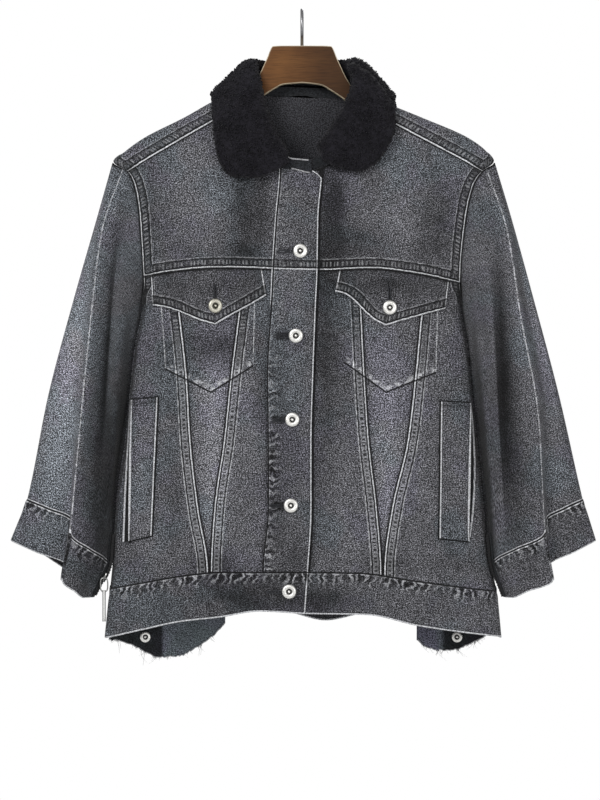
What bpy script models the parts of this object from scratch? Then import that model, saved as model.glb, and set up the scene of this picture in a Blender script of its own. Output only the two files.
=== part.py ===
"""A pile-collar denim jacket on a wooden hanger, with three-quarter sleeves that end in zipped cuffs.

Frame: metres, +Z up, +X to the viewer's right, the front faces -Y. The origin is the point where the
hanger's hook bears on its rail. Tables are in millimetres: x across, drop down from the origin, y back.
Left and right are the viewer's. Every cloth panel is a grid of points on one of four surfaces (the
front, the back and two sleeves) with a second layer moved out along that surface's own normals, so that
neighbouring panels run along the same seam.
"""

import math

import bmesh
import bpy
import numpy as np
from mathutils import Matrix, Vector

MM = 0.001

# Cloth and gaps, in millimetres
DENIM = 1.3  # one ply of denim
FOLDED = 2.1  # hem bands and cuffs, folded double
STAND = 1.6  # the collar stand
POCKETING = 1.0
SEAM_GAP = 0.6  # between two panels that meet at a seam
LAYER_GAP = 0.4  # between a panel and what lies on it
ON_PANEL = DENIM + LAYER_GAP  # lift of a piece that lies on a panel
PLACKET_LIFT = ON_PANEL + 0.2
FLAP_LIFT = (ON_PANEL + 0.3, 0.5)  # at the yoke seam, and how much more at the low edge
WELT_LIFT = ON_PANEL + 0.4
BEHIND = 1.2  # how far behind a panel's inner face a piece inside the jacket starts
ROUNDNESS = 4.0  # exponent of the body's cross-section, 2 is an ellipse and more is flatter

# Jacket
SHOULDER_TIP = 178.0
YOKE_SEAM_BACK = 262.0
UNDERARM_ROW = 0.0765  # share of the way from the front yoke seam to the hem seam
ARMHOLE_STEP = 0.7  # how far outside the armhole's edge a sleeve starts,
TIP_STEP = 2.3  # with this much more at the shoulder tip
UNDERARM_STEP = 3.4  # and this much more under the arm
NECK_WIDTH = 82.0  # half width of the neck opening
NECK_TOP = 96.0
NECK_DEPTH = 90.0
NECK_TILT = 6.0  # how the front neckline dips to the right of the middle
BACK_SCOOP = 2.0
BAND_OVERLAP = (-62.0, -47.0)  # where the left hem band climbs over the right one
CORNER_START = 8.0  # the placket's rounded top corner: where it starts, its width and how far it drops
CORNER_WIDTH = 15.0
CORNER_DROP = 13.0
PLACKET_TAB = 0.04  # how far the placket reaches over the panel it is sewn to, in columns
CUFF_START = 0.87  # share of a sleeve's length at which the cuff begins
COLLAR_STEPS = 30  # along the collar

# Zips
ZIP_PLACE = 0.48  # round the sleeve
ZIP_HALF = 0.018
ZIP_ROWS = (0.78, 0.81, 0.84, 0.86, 0.87, 0.935, 0.999)
CHAIN = 1.6
SLIDER_AT = 0.925
SLIDER_SIZE = (7.0, 11.0, 2.6)  # across the chain, along it and out of it
BAIL_RADIUS = 2.1
BAIL_WIRE = 0.6
BAIL_PLACE = (1.7, 1.5, 1.2)  # its middle from the slider's front side: across, along and out
PULL_RING = (4.3, 8.0)  # half width and half height of its centreline
RING_SQUARENESS = 2 / 3  # exponent of its outline, 1 is an ellipse and less is squarer
PULL_WIRE = 0.8
TAB_HALF_WIDTH = 1.7
TAB_EYE = 1.4  # radius of the hole for the ring

# Metal
TURNED_STEPS = 14
SHARP_ANGLE = 40.0  # in degrees, an edge that turns more than this is shaded sharp

# Hanger
HOOK_WIRE = 3.8
HOOK_INNER = 16.0  # inner radius, the origin lies on its top
HOOK_START = -130.0  # where the stem meets the ring, in degrees
HOOK_TAIL = -380.0
HOOK_POINTS = 26
HOOK_BEND = ((0.25, 0.45), (0.68, 0.78))  # shares of the way back and up from the wood to the ring
HOOK_DEPTH = 6.0  # how far the stem goes into the wood
HOOK_HOLE = 0.3  # clearance round the stem
WOOD_TOP = 40.4
WOOD_END = 198.0
WOOD_CLEAR = 3.6  # between the arms and the shoulders that rest on them


def table(names, *rows):
    """The columns of a short table, by name."""
    return dict(zip(names.split(), np.array(rows, dtype=float).T))


def profile_of(columns):
    """The rows of a table again."""
    return list(zip(*columns.values()))


# The body's outline and depth. Above the shoulder tip its sides are the shoulder ridges, then the
# armhole seams, then the side seams. hold is how far in front of the ridge the armhole's edge stands.
BODY = table(
    "drop left right hold_left hold_right front back",
    (84, -62, 42, 0, 0, 9, 11),
    (96, -84, 70, 0, 0, 11, 13),
    (108, -108, 98, 0, 0, 13, 15),
    (125, -138, 140, 0, 0, 15, 17),
    (150, -187, 197, 0, 0, 18, 20),
    (165, -208, 217, 0, 0, 20, 21),
    (SHOULDER_TIP, -222, 226, 0, 0, 22, 22),
    (188, -205, 212, 6, 6, 23, 23),
    (206, -196.5, 201, 11, 11, 25, 24),
    (234, -191.5, 194, 15, 15, 27, 26),
    (267, -189, 189.5, 17, 17, 29, 27),
    (300, -187, 186.5, 16, 17, 31, 28),
    (320, -186, 186, 10, 12, 32, 28),
    (340, -187, 186.5, 0, 1, 33, 28),
    (350, -187.6, 187, 0, 0, 33, 28),
    (370, -190.8, 190, 0, 0, 35, 28),
    (393, -196, 194.5, 0, 0, 36, 29),
    (444, -202, 200, 0, 0, 38, 29),
    (508, -208, 206, 0, 0, 40, 29),
    (583, -219, 213.5, 0, 0, 42, 30),
    (643, -222, 219, 0, 0, 43, 31),
    (680, -225.5, 228, 0, 0, 44, 32),
    (737, -231.5, 234, 0, 0, 45, 33),
)

# The front's lengthwise lines. Above the yoke seam only the placket's is a seam. edge is the free edge.
LINES = table(
    "drop left_outer left_inner placket edge right_inner right_outer",
    (95, -158, -69, -24, 26, 68, 158),
    (189, -156, -69, -25, 23, 67, 155),
    (245, -152, -68, -30, 19, 66, 150),
    (305, -149, -67, -34, 18, 66, 146),
    (350, -143.5, -73, -36, 16, 69, 140),
    (430, -134.5, -83, -40, 13, 73, 132),
    (505, -130, -91, -39, 11, 78, 123),
    (583, -121, -102, -38, 11, 87, 105),
    (655, -109.5, -106, -44, 7, 92.5, 96),
    (710, -109, -106, -44, 3, 93, 96.5),
)
LINE_NAMES = ("left_outer", "left_inner", "placket", "edge", "right_inner", "right_outer")
RIGHT_EDGE = 7.0  # the column of the right outline, after the left outline and the six lines

# The seams that run across, drop against x
SHOULDER_SEAM = table("x drop", (-205, 188), (-108, 132), (-60, 104), (60, 104), (108, 133), (212, 188))
FRONT_YOKE = table(
    "x drop", (-190, 312), (-154, 306), (-97, 302), (20, 305), (80, 303), (137, 309), (186, 319)
)
HEM_SEAM = table(
    "x drop", (-226, 678), (-182, 669), (-137, 661), (-94, 657), (6, 657), (67, 658), (130, 667), (229, 681)
)
HEM = table(
    "x drop", (-232, 737), (-185, 725), (-140, 715), (-96, 710), (-49, 703), (10, 706), (74, 707),
    (135, 720), (234, 735),
)
BACK_HEM = table(
    "x drop", (-232, 737), (-180, 718), (-100, 703), (-20, 707), (28, 715), (76, 707), (140, 706),
    (190, 721), (234, 735),
)

# The largest folds of the body: a crest from its top to its low point, as wide as its half width,
# standing out by its height. A negative height is a hollow.
FRONT_FOLDS = table(
    "x_top drop_top x_low drop_low width height",
    (-95, 200, -60, 300, 18, 1.6),
    (-52, 380, -62, 640, 16, 2.2),
    (-22, 330, -24, 560, 14, -1.4),
    (-165, 470, -176, 690, 17, 2.6),
    (44, 420, 40, 690, 17, 2.0),
    (150, 480, 172, 700, 17, 2.6),
    (112, 190, 90, 290, 20, -1.6),
)
BACK_FOLDS = table(
    "x_top drop_top x_low drop_low width height",
    (-120, 300, -132, 680, 26, 4.0),
    (-40, 330, -52, 700, 22, -3.0),
    (35, 300, 44, 700, 26, 4.0),
    (128, 330, 140, 690, 24, -2.6),
)

# The sleeves. Each row is a line that runs down a sleeve: round is its place round the tube, from the
# outer edge (0) over the front to the underarm (0.5) and the back; top, seam and hem are the drops at
# which it crosses the armhole, the cuff seam and the hem; y15 to y100 are its depths at these
# hundredths of the way down.
SLEEVE_LINES = table(
    "round top seam hem y15 y35 y60 y87 y100",
    (0.00, 178, 574, 623, 0, 0, 0, 0, 0),  # outer edge
    (0.08, 180, 584, 635, -11, -14, -15, -15, -14),  # plane
    (0.15, 182, 597, 652, -17, -23, -27, -25, -25),  # tuck
    (0.19, 185, 612, 667, -21, -29, -35, -40, -46),  # crease
    (0.29, 210, 630, 680, -17, -13, -10, -31, -42),  # trough
    (0.40, 270, 640, 688, -23, -24, -17, -16, -24),  # roll
    (0.50, 340, 646, 688, -5, -2, 0, -2, -8),  # underarm
    (0.62, 290, 636, 671, 17, 20, 22, 23, 19),  # back, inner
    (0.77, 225, 606, 641, 20, 24, 28, 31, 33),  # back, middle
    (0.92, 182, 582, 624, 10, 13, 15, 17, 18),  # back, outer
)
SLEEVE_SHARES = ("15", "35", "60", "87", "100")
# The same lines' distances from the middle of the jacket
SLEEVE_REACH = {
    "left": table(
        "x15 x35 x60 x87 x100",
        (241, 267, 297, 322, 341),
        (239, 258, 279, 296, 313),
        (238, 250, 263, 269, 273),
        (234, 246, 258, 270, 279.5),
        (218, 227, 236, 250, 266),
        (208, 216, 224, 235, 256),
        (202, 208, 220.5, 228.5, 247.5),
        (188, 196.5, 207.5, 220.5, 262),
        (224, 243, 265, 286, 305),
        (237, 261, 289, 313, 331),
    ),
    "right": table(
        "x15 x35 x60 x87 x100",
        (246, 271, 301, 329, 344),
        (245, 264, 288, 306, 320),
        (243, 258, 280, 284, 288),
        (240, 255, 276, 283, 292),
        (226, 234, 240, 252, 264),
        (207, 214, 222, 233, 247),
        (200.5, 206, 215.5, 224.5, 240),
        (188, 194.5, 203.5, 215.5, 255),
        (226, 244, 267, 291, 305),
        (241, 265, 293, 318, 333),
    ),
}

# The collar and its stand, from the left front end round the neck to the right front end. neck_x is a
# place on the neckline, roll the top of the stand's turn and edge the free edge. side is the sheet that
# the neckline lies on there, foot how far the stand reaches down over the neckline, lift how far it
# stands off, thick half the pile's thickness and bow how far its fall bows out between the roll and
# the edge. The first two rows and the last two are the stand's only.
COLLAR = table(
    "neck_x side foot lift roll_x roll_drop roll_y edge_x edge_drop edge_y thick bow",
    (11, -1, 4, 3.7, 10, 170, -27, 10, 190, -34, 2.6, 3),
    (2, -1, 4, 3.7, -4, 168, -27, -4, 186, -35, 2.6, 3),
    (-8, -1, 4, 3.7, -17, 167, -27, -15, 181, -34.5, 2.6, 3),
    (-30, -1, 4, 3.5, -23, 159, -26, -33, 190.5, -34, 3.8, 3),
    (-52, -1, 4, 2.1, -31, 147, -25, -55, 197.5, -32, 4.2, 3),
    (-64, -1, 4, 2.1, -38, 132, -23, -76, 197, -31, 4.4, 3),
    (-74, -1, 4, 2.1, -45, 115, -20, -93, 187, -30, 4.4, 3),
    (-80, -1, 1.2, 5.3, -49, 95, -16, -102, 158, -27, 4.1, 3.6),
    (-82.5, 0, 1, 5.0, -53, 62, -2, -107, 99, -3, 3.0, 1.5),
    (-62, 1, 3, 2.6, -43, 60, 14, -88, 116, 25, 3.2, 0),
    (0, 1, 4, 2.1, 0, 60, 20, 0, 134, 31, 4.0, 2),
    (62, 1, 3, 2.6, 44, 60, 14, 92, 120, 25, 4.4, 3),
    (82.5, 0, 1, 4.6, 58, 62, -2, 109, 103, -3, 4.4, 3),
    (80, -1, 2, 4.4, 60, 88, -14, 109, 138, -24, 4.4, 3),
    (74, -1, 4, 2.1, 52, 112, -20, 101, 160, -29, 4.4, 3),
    (62, -1, 4, 2.1, 39, 134, -24, 82, 184, -30, 4.4, 3),
    (46, -1, 4, 2.1, 29, 150, -26, 62, 190.5, -32, 4.2, 3),
    (35, -1, 1, 2.1, 22, 158, -27, 43, 185, -33, 3.8, 3),
    (28, -1, -1.5, 0.6, 19, 164, -27, 24, 177, -33, 2.6, 3),
    (20, -1, -2, 0.0, 17, 168, -25, 20, 180, -33, 2.6, 3),
    (14, -1, -2, 0.0, 12, 168, -25, 13, 180, -33, 2.6, 3),
)
COLLAR_ENDS = (2.0, 18.0)  # the rows at which the pile collar starts and ends
STAND_HEIGHT = 13.0
COLLAR_FOOT = 16.4  # how far up the stand's direction the collar starts
NECK_MIDDLE = np.array([0.0, NECK_TOP + 8.0])
RIDGE_BLEND = (1.0, 9.0)  # depths off the ridge between which the stand turns to the panels' normals
STAND_BEND = 5.0  # height at which the stand's foot turns out over the panels
ROLL_GAP = 0.8  # half the gap inside the collar's roll, besides its thickness
PAD_STOPS = np.array([0.0, 0.26, 0.36, 0.46, 0.72, 1.0])  # foot, shoulder, roll, outside, fall, edge
# The pad across, from foot to edge: where each row of points lies and how thick it is there
PAD = table(
    "share taper", (0, 0.75), (0.14, 1), (0.26, 1), (0.31, 1), (0.36, 1), (0.41, 1), (0.46, 1), (0.6, 1),
    (0.8, 1), (1, 0.5),
)

FRONT_BUTTONS = table("x drop", (-2, 283), (-7, 382), (-11, 480), (-13, 580), (-15, 680))

# What lies on the front, in (x, drop)
FLAPS = {
    "left": {"top": (-176, -47), "corners": ((-172, 346), (-42, 335)), "point": (-101, 369), "curl": 1.0},
    "right": {"top": (44, 171), "corners": ((39, 331), (166, 350)), "point": (98, 370), "curl": 7.0},
}
FLAP_BUTTONS = {"left": (-101, 347), "right": (102, 349)}
FLAP_BUTTON_LIFT = 1.0
CURL_WIDTH = 0.35  # share of a flap's width that its curl takes
POCKETS = {
    "left": {"top": (-166, -55), "corners": ((-159, 421), (-57, 417)), "point": (-106, 448)},
    "right": {"top": (46, 159), "corners": ((48, 412), (156, 425)), "point": (98, 448)},
}
POCKET_MOUTH = 322.0
WELTS = {
    "left": ((-198, 457), (-168, 454), (-202, 622), (-175, 615)),
    "right": ((162, 459), (196, 461), (160, 618), (194, 622)),
}
# The raw-edged tails that hang inside the back hem, drop of the free edge against x
TAILS = {
    "left": table(
        "x drop", (-229.5, 739.5), (-211, 744), (-197, 749), (-184, 757), (-167, 762), (-143, 760),
        (-122, 749), (-98, 731), (-91, 722),
    ),
    "right": table("x drop", (136, 742), (148, 751), (166, 755), (182, 753), (200, 745), (218, 737)),
}
TAIL_START = -225.0  # how far left a tail starts inside the hem
TAIL_TUCK = 12.0  # how far a tail reaches up inside the hem
STUDS = {"left": (-186, 737), "right": (184, 737)}

# The pull tab's thickness down from the ring, and the profiles of the turned pieces
TAB = table(
    "up half_depth", (2.0, 0.6), (1.2, 1.4), (0.0, 1.9), (-2.0, 1.5), (-5.0, 0.85), (-35.0, 0.85)
)
BUTTON = table(
    "radius height", (0, 2.6), (1.3, 2.4), (1.7, 1.5), (3.2, 1.6), (4.2, 2.9), (6.4, 3.2), (8.0, 2.3),
    (8.5, 1.1), (7.8, 0), (0, 0),
)
PRESS_STUD = table("radius height", (1.9, 1.0), (2.9, 1.7), (5.0, 1.7), (6.5, 0.9), (6.5, 0), (1.9, 0))

# The wood's outline, half of it: distance from the middle, drop of its top and bottom edges
CROWN = table(
    "x top bottom", (0, WOOD_TOP, 84), (22, WOOD_TOP, 86), (34, WOOD_TOP + 0.6, 92), (42, 57, 97),
    (52, 78, 104), (62, 93, 113), (80, 106, 124), (95, 112, 130),
)
CROWN_TO_ARM = 20.0
ARM_DEPTH = 18.0
ARM_START = 52.0
ARM_BLEND = 30.0
WOOD_HALF = 6.5
WOOD_SQUARENESS = (0.35, 1.0)  # exponent of its sections in the crown and in the arms
END_ROUNDING = 4.0
WOOD_STOPS = (0, 22, 33.9, 34.2, 38, 42, 47, 52, 59, 68, 80, 95, 110, 140, 170, 190, WOOD_END - 4, WOOD_END)

COLOURS = {
    "denim": ((0.085, 0.092, 0.1), 0.9, 0.0),
    "dark denim": ((0.03, 0.036, 0.042), 0.9, 0.0),
    "pile": ((0.011, 0.01, 0.013), 1.0, 0.0),
    "silver": ((0.72, 0.71, 0.68), 0.3, 1.0),
    "zip": ((0.6, 0.6, 0.6), 0.35, 1.0),
    "tape": ((0.62, 0.62, 0.6), 0.6, 0.0),
    "wood": ((0.16, 0.08, 0.038), 0.45, 0.0),
    "steel": ((0.3, 0.3, 0.3), 0.3, 1.0),
}


# ---------------------------------------------------------------- curves and grids


def smooth(at, knots, values):
    """The curve through the values at the knots: a cubic between neighbours whose slope at a knot is the
    harmonic mean of the slopes on its two sides, and flat where they turn, so that it never overshoots."""
    at = np.clip(np.asarray(at, dtype=float), knots[0], knots[-1])
    wide = (slice(None),) + (None,) * (np.ndim(values) - 1)
    step = np.diff(knots)[wide]
    slope = np.diff(values, axis=0) / step
    product = slope[1:] * slope[:-1]
    total = np.where(product > 0, slope[1:] + slope[:-1], 1)
    turn = np.where(product > 0, 2 * product / total, 0)
    tangent = np.concatenate([slope[:1], turn, slope[-1:]])
    cell = np.clip(np.searchsorted(knots, at, side="right") - 1, 0, len(knots) - 2)
    step = step[cell]
    share = (at - knots[cell]).reshape(at.shape + (1,) * (np.ndim(values) - 1)) / step
    rest = 1 - share
    start = (1 + 2 * share) * rest**2 * values[cell] + share * rest**2 * step * tangent[cell]
    end = share**2 * (3 - 2 * share) * values[cell + 1] - share**2 * rest * step * tangent[cell + 1]
    return start + end


def closed_smooth(at, knots, values):
    """The curve of smooth() on a closed loop: round 0 and round 1 are the same place."""
    at = np.mod(at, 1.0)
    knots = np.concatenate([knots[-3:] - 1, knots, knots[:3] + 1])
    values = np.concatenate([values[-3:], values, values[:3]])
    return smooth(at, knots, values)


def mix(start, end, share):
    return start + (end - start) * share


def step_up(value, low, high):
    """0 below low, 1 above high and a smooth step between."""
    share = np.clip((value - low) / (high - low), 0, 1)
    return share * share * (3 - 2 * share)


def unit(vectors):
    return vectors / np.maximum(np.linalg.norm(vectors, axis=-1, keepdims=True), 1e-9)


def squared(value, power):
    """A sine or cosine raised to a power with its sign kept, which squares off an ellipse."""
    return np.sign(value) * np.abs(value) ** power


def toward_edge(count, first=True, last=False):
    """Shares from 0 to 1, closer together toward the first end, the last end or both."""
    even = np.linspace(0, 1, count + 1)
    if first and last:
        return (1 - np.cos(math.pi * even)) / 2
    return 1 - np.cos(math.pi / 2 * even) if first else np.sin(math.pi / 2 * even)


def line(points, count):
    """An even walk along a line of corner points."""
    points = np.array(points, dtype=float)
    place = np.concatenate([[0], np.cumsum(np.linalg.norm(np.diff(points, axis=0), axis=1))])
    at = np.linspace(0, place[-1], count + 1)
    return np.stack([np.interp(at, place, points[:, axis]) for axis in range(points.shape[1])], axis=1)


def coons(top, bottom, left, right):
    """The grid of points inside four edges, each an array of points. Each point is the mean of the two
    lines through it from edge to edge, less the plane through the corners."""
    down = np.linspace(0, 1, len(left))[:, None, None]
    across = np.linspace(0, 1, len(top))[None, :, None]
    between_rows = mix(top[None], bottom[None], down)
    between_columns = mix(left[:, None], right[:, None], across)
    corners = mix(mix(top[0], top[-1], across), mix(bottom[0], bottom[-1], across), down)
    return between_rows + between_columns - corners


def trimmed(grid, columns=True):
    """The grid with each edge drawn in by half the seam gap."""
    grid = grid.copy()
    sides = [(grid[0], grid[1]), (grid[-1], grid[-2])]
    if columns:
        sides += [(grid[:, 0], grid[:, 1]), (grid[:, -1], grid[:, -2])]
    for edge, inner in sides:
        edge += unit(inner - edge) * SEAM_GAP / 2
    return grid


# ---------------------------------------------------------------- the front and the back


def body(name, drop):
    return smooth(drop, BODY["drop"], BODY[name])


def fold_height(folds, x, drop):
    """The sum of the folds: each is a bell across its line, fading in and out along it."""
    height = np.zeros(np.shape(x))
    for x_top, drop_top, x_low, drop_low, width, crest_height in profile_of(folds):
        along = (drop - drop_top) / (drop_low - drop_top)
        fade = np.sin(math.pi * np.clip(along, 0, 1)) ** 2
        off = (x - mix(x_top, x_low, along)) / width
        height += crest_height * fade * np.exp(-off * off)
    return height


def sheet(side, plan):
    """Points of the inside of the front or back at (x, drop). The depth is hold + (depth - hold) times
    (1 - |q|^ROUNDNESS)^p, where q runs from -1 at the left outline to 1 at the right one. The power p is
    1/2, a round edge, where the front and back meet, and 1, a flat edge, where the armhole holds it."""
    x, drop = plan[..., 0], plan[..., 1]
    left = body("left", drop) + DENIM
    right = body("right", drop) - DENIM
    q = np.clip((x - (left + right) / 2) / ((right - left) / 2), -1, 1)
    hold = mix(body("hold_left", drop), body("hold_right", drop), step_up(q, -0.4, 0.4))
    power = 0.5 + 0.5 * step_up(hold, 0, 14)
    bulge = (1 - np.abs(q) ** ROUNDNESS) ** power
    depth = hold + (body(side, drop) - hold) * bulge
    depth = depth + fold_height(FRONT_FOLDS if side == "front" else BACK_FOLDS, x, drop) * bulge
    return np.stack([x, -depth if side == "front" else depth, -drop], axis=-1)


def sheet_normals(side, plan):
    """Outward normals of the front or back, from the differences over a short step. A point near the
    outline is first moved in by the step, because the sheet turns back there."""
    reach = 0.7
    left = body("left", plan[..., 1]) + DENIM + 2 * reach
    right = body("right", plan[..., 1]) - DENIM - 2 * reach
    inside = np.stack([np.clip(plan[..., 0], left, right), plan[..., 1]], axis=-1)
    across = np.array([reach, 0.0])
    down = np.array([0.0, reach])
    wide = sheet(side, inside + across) - sheet(side, inside - across)
    tall = sheet(side, inside + down) - sheet(side, inside - down)
    return unit(np.cross(tall, wide)) * (1 if side == "front" else -1)


def neckline(x):
    """Drop of the front neckline: |x / NECK_WIDTH|^2.2 + ((drop - NECK_TOP) / NECK_DEPTH)^2 = 1, tilted
    a little in the middle."""
    inside = np.clip(1 - np.abs(x / NECK_WIDTH) ** 2.2, 0, 1)
    tilt = NECK_TILT * (x / 20) * np.exp(-((x / 20) ** 2))
    return NECK_TOP + NECK_DEPTH * np.sqrt(inside) + tilt


def back_neckline(x):
    ends = crest(np.full(np.shape(x), -NECK_WIDTH)), crest(np.full(np.shape(x), NECK_WIDTH))
    across = np.clip(x / NECK_WIDTH, -1, 1)
    return mix(*ends, (across + 1) / 2) + BACK_SCOOP * np.sqrt(1 - across**2)


def front_top(x):
    """Drop of the front yokes' top: the shoulder seams, and the neckline between them."""
    seam = np.interp(x, SHOULDER_SEAM["x"], SHOULDER_SEAM["drop"])
    return np.where(np.abs(x) < NECK_WIDTH, np.maximum(neckline(x), seam), seam)


def crest(x):
    """Drop of the shoulder ridge above x, by halving: where the outline passes x."""
    x = np.asarray(x, dtype=float)
    low = np.full(x.shape, BODY["drop"][0])
    high = np.full(x.shape, SHOULDER_TIP)
    for _ in range(40):
        middle = (low + high) / 2
        outside = np.where(x < 0, body("left", middle) + DENIM < x, body("right", middle) - DENIM > x)
        high = np.where(outside, middle, high)
        low = np.where(outside, low, middle)
    return (low + high) / 2


def between(lines, place):
    """The value at a place between lines, given as an array of lines, at its whole and part numbers."""
    cell = np.clip(np.floor(place).astype(int), 0, len(lines) - 2)
    start = np.take_along_axis(lines, cell[None], 0)[0]
    end = np.take_along_axis(lines, cell[None] + 1, 0)[0]
    return mix(start, end, place - cell)


def column_x(column, drop):
    """x of a column of the front: whole columns are the left outline, the lines and the right outline."""
    lines = [body("left", drop) + DENIM]
    lines += [smooth(drop, LINES["drop"], LINES[name]) for name in LINE_NAMES]
    lines += [body("right", drop) - DENIM]
    return between(np.stack(lines), column)


def row_drop(x, row):
    """Drop of a row of the front: rows 0, 1, 2 and 3 are the top, the yoke seam, the hem seam and the hem."""
    edges = [front_top(x)]
    edges += [smooth(x, each["x"], each["drop"]) for each in (FRONT_YOKE, HEM_SEAM, HEM)]
    return between(np.stack(edges), row)


def front_plan(columns, rows):
    """(x, drop) of the front at each column and row, found by going to and fro between the two rules."""
    column, row = np.meshgrid(columns, rows)
    drop = np.full(column.shape, 300.0) + 100 * (row - 1)
    for _ in range(30):
        drop = (drop + row_drop(column_x(column, drop), row)) / 2
    return np.stack([column_x(column, drop), drop], axis=-1)


def back_plan(shares, drops):
    """(x, drop) of the back. A share runs from the left outline to the right one. A drop is read at the
    side seams, and the rows below the yoke bend to follow the hem toward the bottom."""
    share, edge_drop = np.meshgrid(shares, drops)
    x = mix(body("left", edge_drop) + DENIM, body("right", edge_drop) - DENIM, share)
    seam_edge = mix(HEM_SEAM["drop"][0], HEM_SEAM["drop"][-1], share)
    straight = mix(BACK_HEM["drop"][0], BACK_HEM["drop"][-1], share)
    sag = smooth(x, BACK_HEM["x"], BACK_HEM["drop"]) - straight
    reach = np.clip((edge_drop - YOKE_SEAM_BACK) / (seam_edge - YOKE_SEAM_BACK), 0, 1.2)
    return np.stack([x, edge_drop + sag * reach], axis=-1)


# ---------------------------------------------------------------- the sleeves


def armhole(side, around):
    """Where a sleeve starts. It follows the armhole and steps out from the side panels under the arm."""
    drop = closed_smooth(around, SLEEVE_LINES["round"], SLEEVE_LINES["top"])
    hold = body("hold_" + side, drop)
    at_tip = TIP_STEP * (1 - step_up(drop, SHOULDER_TIP, 198))
    out = DENIM - ARMHOLE_STEP - at_tip - UNDERARM_STEP * step_up(drop, 296, 336)
    edge = body(side, drop) + (out if side == "left" else -out)
    front = np.mod(around, 1.0) < 0.5
    return np.stack([edge, np.where(front, -hold, hold), -drop], axis=-1)


def sleeve(side, around, down):
    """Points of the inside of a sleeve, rows down and columns around. Round each section the curve is
    smooth() through the lines' points, and down the sleeve it is smooth() through the sections."""
    sign = -1 if side == "left" else 1
    reach = SLEEVE_REACH[side]
    knots = SLEEVE_LINES["round"]
    xs = [closed_smooth(around, knots, sign * reach["x" + share]) for share in SLEEVE_SHARES]
    ys = [closed_smooth(around, knots, SLEEVE_LINES["y" + share]) for share in SLEEVE_SHARES]
    start = armhole(side, around)
    stops = np.array([0.0] + [int(share) / 100 for share in SLEEVE_SHARES])
    x = smooth(down, stops, np.stack([start[:, 0], *xs]))
    y = smooth(down, stops, np.stack([start[:, 1], *ys]))
    seam = closed_smooth(around, knots, SLEEVE_LINES["seam"])
    hem = closed_smooth(around, knots, SLEEVE_LINES["hem"])
    drops = np.stack([-start[:, 2], seam, hem])
    stops = np.array([0.0, CUFF_START, 1.0])
    cell = np.clip(np.searchsorted(stops, down, side="right") - 1, 0, 1)
    share = ((down - stops[cell]) / np.diff(stops)[cell])[:, None]
    return np.stack([x, y, -mix(drops[cell], drops[cell + 1], share)], axis=-1)


def sleeve_normals(side, around, down):
    """Outward normals of a sleeve, from the differences over a short step."""
    reach = 0.004
    wide = sleeve(side, around + reach, down) - sleeve(side, around - reach, down)
    below = sleeve(side, around, np.clip(down + reach, 0, 1))
    tall = below - sleeve(side, around, np.clip(down - reach, 0, 1))
    return unit(np.cross(tall, wide)) * (1 if side == "left" else -1)


# ---------------------------------------------------------------- making objects


def clear_scene():
    for obj in list(bpy.data.objects):
        bpy.data.objects.remove(obj, do_unlink=True)


def collection(name):
    made = bpy.data.collections.new(name)
    bpy.context.scene.collection.children.link(made)
    return made


def material(name, finish):
    colour, roughness, metallic = COLOURS[finish]
    made = bpy.data.materials.new(name)
    made.use_nodes = True
    shader = made.node_tree.nodes["Principled BSDF"]
    shader.inputs["Base Color"].default_value = (*colour, 1.0)
    shader.inputs["Roughness"].default_value = roughness
    shader.inputs["Metallic"].default_value = metallic
    made.diffuse_color = (*colour, 1.0)
    return made


def add_object(name, data, finish):
    obj = bpy.data.objects.new(name, data)
    data.materials.append(material(name, finish))
    PARTS.objects.link(obj)
    return obj


def as_cutter(obj):
    """Moves an object to the tools: it shapes another one and is not part of the jacket itself."""
    PARTS.objects.unlink(obj)
    TOOLS.objects.link(obj)
    obj.hide_render = True
    obj.display_type = "WIRE"
    return obj


def combine(obj, tool, operation):
    change = obj.modifiers.new(operation.capitalize(), "BOOLEAN")
    change.operation = operation
    change.solver = "EXACT"
    change.object = as_cutter(tool)


def mesh_of(name, points, faces):
    """A mesh of points in millimetres, without those that no face uses."""
    mesh = bpy.data.meshes.new(name)
    mesh.from_pydata((points.reshape(-1, 3) * MM).tolist(), [], faces)
    shape = bmesh.new()
    shape.from_mesh(mesh)
    bmesh.ops.delete(shape, geom=[vertex for vertex in shape.verts if not vertex.link_faces], context="VERTS")
    bmesh.ops.triangulate(shape, faces=[face for face in shape.faces if len(face.verts) > 4])
    shape.to_mesh(mesh)
    shape.free()
    mesh.shade_smooth()
    mesh.set_sharp_from_angle(angle=math.radians(SHARP_ANGLE))
    return mesh


def grid_faces(rows, columns, closed=False, keep=None):
    """Quads of a grid of rows by columns, each running down, then across."""
    faces = []
    for row in range(rows - 1):
        for column in range(columns if closed else columns - 1):
            if keep is not None and not keep[row, column]:
                continue
            after = (column + 1) % columns
            start, below = row * columns, (row + 1) * columns
            faces.append((start + column, below + column, below + after, start + after))
    return faces


def cloth(name, grid, outward, thickness, finish="denim", closed=False, flip=False, keep=None):
    """A wall of cloth: the grid, a second layer moved out of it, and the walls that join their edges."""
    faces = grid_faces(*grid.shape[:2], closed, keep)
    if flip:
        faces = [face[::-1] for face in faces]
    count = grid.shape[0] * grid.shape[1]
    edges = {(face[i], face[(i + 1) % 4]) for face in faces for i in range(4)}
    rim = [(b, a, a + count, b + count) for a, b in sorted(edges) if (b, a) not in edges]
    inner = [tuple(vertex + count for vertex in reversed(face)) for face in faces]
    points = np.concatenate([(grid + outward * thickness).reshape(-1, 3), grid.reshape(-1, 3)])
    return add_object(name, mesh_of(name, points, faces + inner + rim), finish)


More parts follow.
